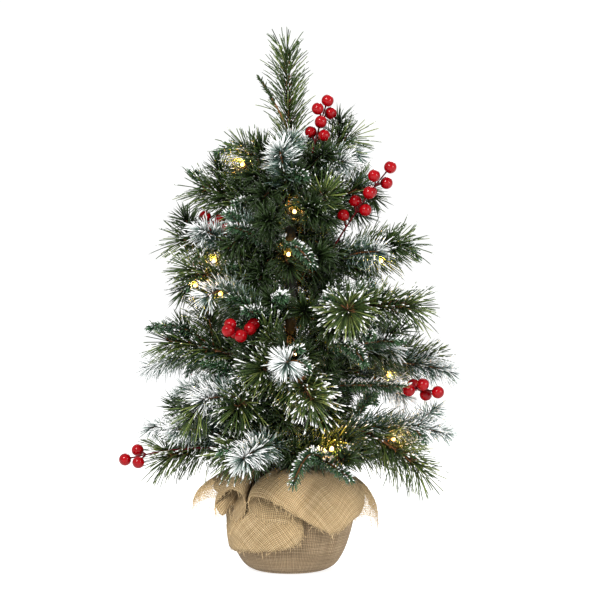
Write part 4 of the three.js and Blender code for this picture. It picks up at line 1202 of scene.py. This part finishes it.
class Skirt:
    """The burlap's turned-over top, as a surface from the neck (v = 0) to its edge (v = 1)."""

    def __init__(self):
        stops = []
        for azimuth, radius, height, lift, loose in HEM:
            turn = math.radians(azimuth)
            stops.append((radius * math.cos(turn), radius * math.sin(turn), height, lift, loose))
        edge = spline(stops, WEAVE, closed=True)
        self.edge, lift, self.loose = edge[:, :3], edge[:, 3], np.clip(edge[:, 4], 0, 1)
        self.columns = len(edge)
        step = np.linalg.norm(np.diff(self.edge, axis=0, append=self.edge[:1]), axis=1)
        self.travel = np.concatenate([[0], np.cumsum(step)])
        self.around = math.radians(HEM[0][0]) - self.travel / self.travel[-1] * 2 * math.pi
        self.turn = turn = self.around[:-1]
        self.neck = round_pole(NECK_RADIUS * (1 + 0.12 * np.sin(GATHERS * turn)), turn, NECK_HEIGHT)
        facing = np.arctan2(self.edge[:, 1], self.edge[:, 0])
        reach = np.hypot(self.edge[:, 0], self.edge[:, 1])
        self.crest = round_pole(CREST_RADIUS, turn, CREST_HEIGHT + lift * 0.6)
        shoulder = np.maximum(self.edge[:, 2] + SHOULDER_RISE, SHOULDER_LOW + lift)
        over_bag = reach + OVER_BAG * np.clip((50 - self.edge[:, 2]) / 15, 0, 1)
        self.shoulder = round_pole(over_bag, facing, shoulder)
        rng = np.random.default_rng(31)
        self.ragged = np.convolve(rng.normal(0, 1.0, self.columns), [0.3, 0.4, 0.3], "same")

    def at(self, v, ripple=1.0):
        """One ring of points, at v (a number, or one for each column)."""
        v = np.broadcast_to(v, self.columns)[:, None]
        points = (1 - v) ** 3 * self.neck + 3 * v * (1 - v) ** 2 * self.crest
        points = points + 3 * v**2 * (1 - v) * self.shoulder + v**3 * self.edge
        v = v[:, 0]
        swell = np.sin(np.pi * np.clip(v, 0, 1))
        points[:, 2] += ripple * RIPPLE * swell * np.sin(RIPPLES * self.turn + 2 * np.sin(5 * self.turn))
        drape = soft_noise(self.turn * 2, v * 3, 17) * np.clip(v * 2, 0, 1)
        facing = unit(points * [1, 1, 0])
        points += ripple * DRAPE * drape[:, None] * facing
        points[:, 2] -= ripple * self.ragged * np.clip((v - 0.9) / 0.1, 0, 1)
        return points


SKIRT_ROWS = 52
NECK_RUN = 40  # the cloth's run from its middle to the neck


def build_skirt():
    """The woven part of the turned-over top."""
    surface = Skirt()
    ends = 1 - LOOSE * surface.loose
    shares = [k / (SKIRT_ROWS - 1) for k in range(SKIRT_ROWS)]
    points = np.stack([surface.at(share * ends) for share in shares])
    smooth = np.stack([surface.at(share * ends, ripple=0) for share in shares])
    run = np.cumsum(np.linalg.norm(np.diff(smooth, axis=0), axis=2), 0)
    length = np.concatenate([np.zeros((1, surface.columns)), run])
    length = np.concatenate([length, length[:, :1]], 1) + NECK_RUN
    flat = round_pole(length, surface.around, 0)[..., :2]
    made = sheet_object("burlap_skirt", points, flat, "burlap")
    fit(made, "root", "burlap", "burlap_wrap")
    return made, surface


LONGEST_TAIL = 11.0


def build_threads(surface):
    """Loose threads past the woven cloth: a fringe along the edge, and open weave at its corners."""
    rng = np.random.default_rng(37)
    shape = Shape()
    ends = 1 - LOOSE * surface.loose
    levels = np.linspace(1 - LOOSE - 0.02, 1, 26)
    rings = np.stack([surface.at(level) for level in levels])
    before = surface.at(0.95)
    for i in range(surface.columns):
        start = ends[i] - 0.015
        away = unit(rings[-1, i] - before[i])
        if surface.loose[i] > 0.08:
            line = rings[levels > start, i]
            line = line + rng.normal(0, 0.22, line.shape)
        else:
            line = np.array([rings[-1, i] - away * 1.5])
        length = min(LONGEST_TAIL, 1.0 + rng.exponential(2.5 + 2.4 * surface.loose[i]))
        wander = rng.normal(0, 0.35, 3)
        tail = [line[-1] + away * length * s + wander * length * s**2 for s in (0.35, 0.7, 1.0)]
        path = np.concatenate([line, tail])
        tube(shape, path, np.linspace(THREAD, THREAD * 0.55, len(path)), 5)
    for level in np.linspace(1 - LOOSE, 0.99, 19):
        ring = surface.at(level)
        here = (ends < level) & (surface.loose > 0.05)
        start = int(np.argmin(here))
        order = (start + np.arange(surface.columns)) % surface.columns
        run = []
        for i in [*order, start]:
            if here[i]:
                run.append(ring[i] + rng.normal(0, 0.25, 3))
                continue
            if len(run) > 3:
                tube(shape, run, THREAD, 5)
            run = []
    made = shape.make("burlap_threads", PAINT["thread"])
    fit(made, "root", "burlap", "burlap_wrap")
    return made


TWINE_TURNS, TWINE_PITCH = 3, 5.0


def build_twine():
    """Three turns of two-ply twine round the neck, and its knot and ends."""
    shape = Shape()
    t = np.linspace(0, 1, 160)
    ring = NECK_RADIUS + 2.0
    loops = round_pole(ring, t * 2 * math.pi * TWINE_TURNS, NECK_HEIGHT - 1.6 + 4.4 * t)
    twisted_pair(shape, loops, pitch=TWINE_PITCH, radius=0.75)
    knot = [(0, -2, 99), (2.5, 0, 101.5), (1, 2.4, 99), (2.6, 0, 97.6), (0, -2.2, 101)]
    ends = [[(0, 0, 100), (3, side * 3, 102), (8, side * 7, 101), (13, side * 9, 97.5)] for side in (-1, 1)]
    for route in (*ends, knot):
        twisted_pair(shape, [(ring + x, y, z) for x, y, z in route], pitch=TWINE_PITCH, radius=0.7)
    fit(shape.make("twine_tie", PAINT["twine"]), "root", "twine", "neck_tie")


# ---------------------------------------------------------------- pole and battery box

TAPE = {"inner": 5.5, "radius": 6.6, "foot": 108, "top": 440, "lap": 9.0, "thick": 0.35}
# A branch wire's end under the tape.
TAIL = {"length": 15, "drop": 2.2, "out": 1.7, "half": 1.5, "fades": 1.5}


def build_trunk():
    """Floral tape wound up the pole, over the tails of the branch wires."""
    columns, rows = 90, 420
    turn = np.arange(columns) * 2 * math.pi / columns
    height = np.linspace(TAPE["foot"], TAPE["top"], rows)[:, None]
    lap = (height / TAPE["lap"] + turn / (2 * math.pi)) % 1.0
    radius = TAPE["radius"] + TAPE["thick"] * (1 - lap) * np.clip(lap / 0.06, 0, 1)
    for name in BRANCHES:
        azimuth, root = branch_frame(name)
        away = (turn - azimuth + math.pi) % (2 * math.pi) - math.pi
        top, foot = root - TAIL["drop"], root - TAIL["drop"] - TAIL["length"]
        fades = TAIL["fades"]
        inside = np.clip((top - height) / fades, 0, 1) * np.clip((height - foot) / fades, 0, 1)
        ridge = np.exp(-((away * 7 / TAIL["half"]) ** 2))
        radius = radius + TAIL["out"] * inside * ridge * (0.9 + 0.1 * lap)
    radius = np.minimum(radius, HINGE - 0.2)
    inner = np.full((1, columns), TAPE["inner"])
    radius = np.concatenate([inner, radius, inner])
    height = np.concatenate([height[:1], height, height[-1:]])
    points = round_pole(radius, turn, height).reshape(-1, 3)
    r, c = np.meshgrid(np.arange(rows + 2), np.arange(columns), indexing="ij")
    up, right = (r + 1) % (rows + 2), (c + 1) % columns
    a, b, d, e = r * columns + c, r * columns + right, up * columns + right, up * columns + c
    shape = Shape()
    shape.add(points, np.concatenate([np.stack(ring, -1).reshape(-1, 3) for ring in ((a, b, d), (a, d, e))]))
    fit(shape.make("trunk_wrap", PAINT["tape"]), "root", "trunk_tape", "trunk_tape")


COIL = {"turns": 4.5, "foot": 4.2, "narrows": 1.9, "apart": 7.4, "rise": 4.2, "wire": 0.32, "plate": 0.8}


def build_springs():
    """The battery springs: two conical coils on their plate."""
    low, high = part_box("spring_contacts")
    x0, y0, z0 = (value / MM for value in low)
    x1, y1, _ = (value / MM for value in high)
    shape = Shape()
    top = z0 + COIL["plate"]
    corners = [(x, y, z) for z in (z0, top) for x, y in ((x0, y0), (x1, y0), (x1, y1), (x0, y1))]
    sides = [(0, 2, 1), (0, 3, 2), (4, 5, 6), (4, 6, 7)]
    for i in range(4):
        j = (i + 1) % 4
        sides += [(i, j, 4 + j), (i, 4 + j, 4 + i)]
    shape.add(corners, sides)
    for side in (-1, 1):
        t = np.linspace(0, 1, 110)
        reach = COIL["foot"] - COIL["narrows"] * t
        coil = round_pole(reach, t * 2 * math.pi * COIL["turns"], top + 0.3 + t * COIL["rise"])
        tube(shape, coil + [(x0 + x1) / 2 + side * COIL["apart"], (y0 + y1) / 2, 0], COIL["wire"], 8)
    fit(shape.make("battery_springs", PAINT["steel"]), "root", "contact_steel", "spring_contacts")


# CAD pieces that are shown as they are: the paint, and how far their sharp edges are rounded, in metres.
NODE_LOOKS = {
    "pot_shell": ("pot", 0.0006), "cement_fill": ("cement", 0.0008), "trunk_pole": ("steel", 0),
    "battery_case": ("case", 0.0005), "battery_cover": ("case", 0.0005),
    "timer_switch": ("switch", 0.0003), "battery_1": ("cell", 0.0004), "battery_2": ("cell", 0.0004),
    "flat_contacts": ("steel", 0),
}
SHARP = math.radians(35)


def dress_nodes():
    """Node materials, and soft edges, for the CAD pieces that are shown as they are."""
    for name, (paint, edge) in NODE_LOOKS.items():
        node = frame["nodes"][name]
        node.data.materials.clear()
        node.data.materials.append(PAINT[paint])
        if edge:
            bevel = node.modifiers.new("soft_edges", "BEVEL")
            bevel.width = edge
            bevel.segments = 3
            bevel.limit_method = "ANGLE"
            bevel.angle_limit = SHARP


make_camera()
make_studio()
make_floor()
for index, (branch, tips_of) in enumerate(BRANCHES.items()):
    build_branch(index, branch, tips_of)
build_leader()
for branch, spray in BERRIES.items():
    build_berries(branch, *spray)
for branch, places in LEADS.items():
    branch_lead(branch, places)
pole_string()
bag = build_bag()
skirt, skirt_surface = build_skirt()
threads = build_threads(skirt_surface)
build_twine()
build_trunk()
build_springs()
dress_nodes()
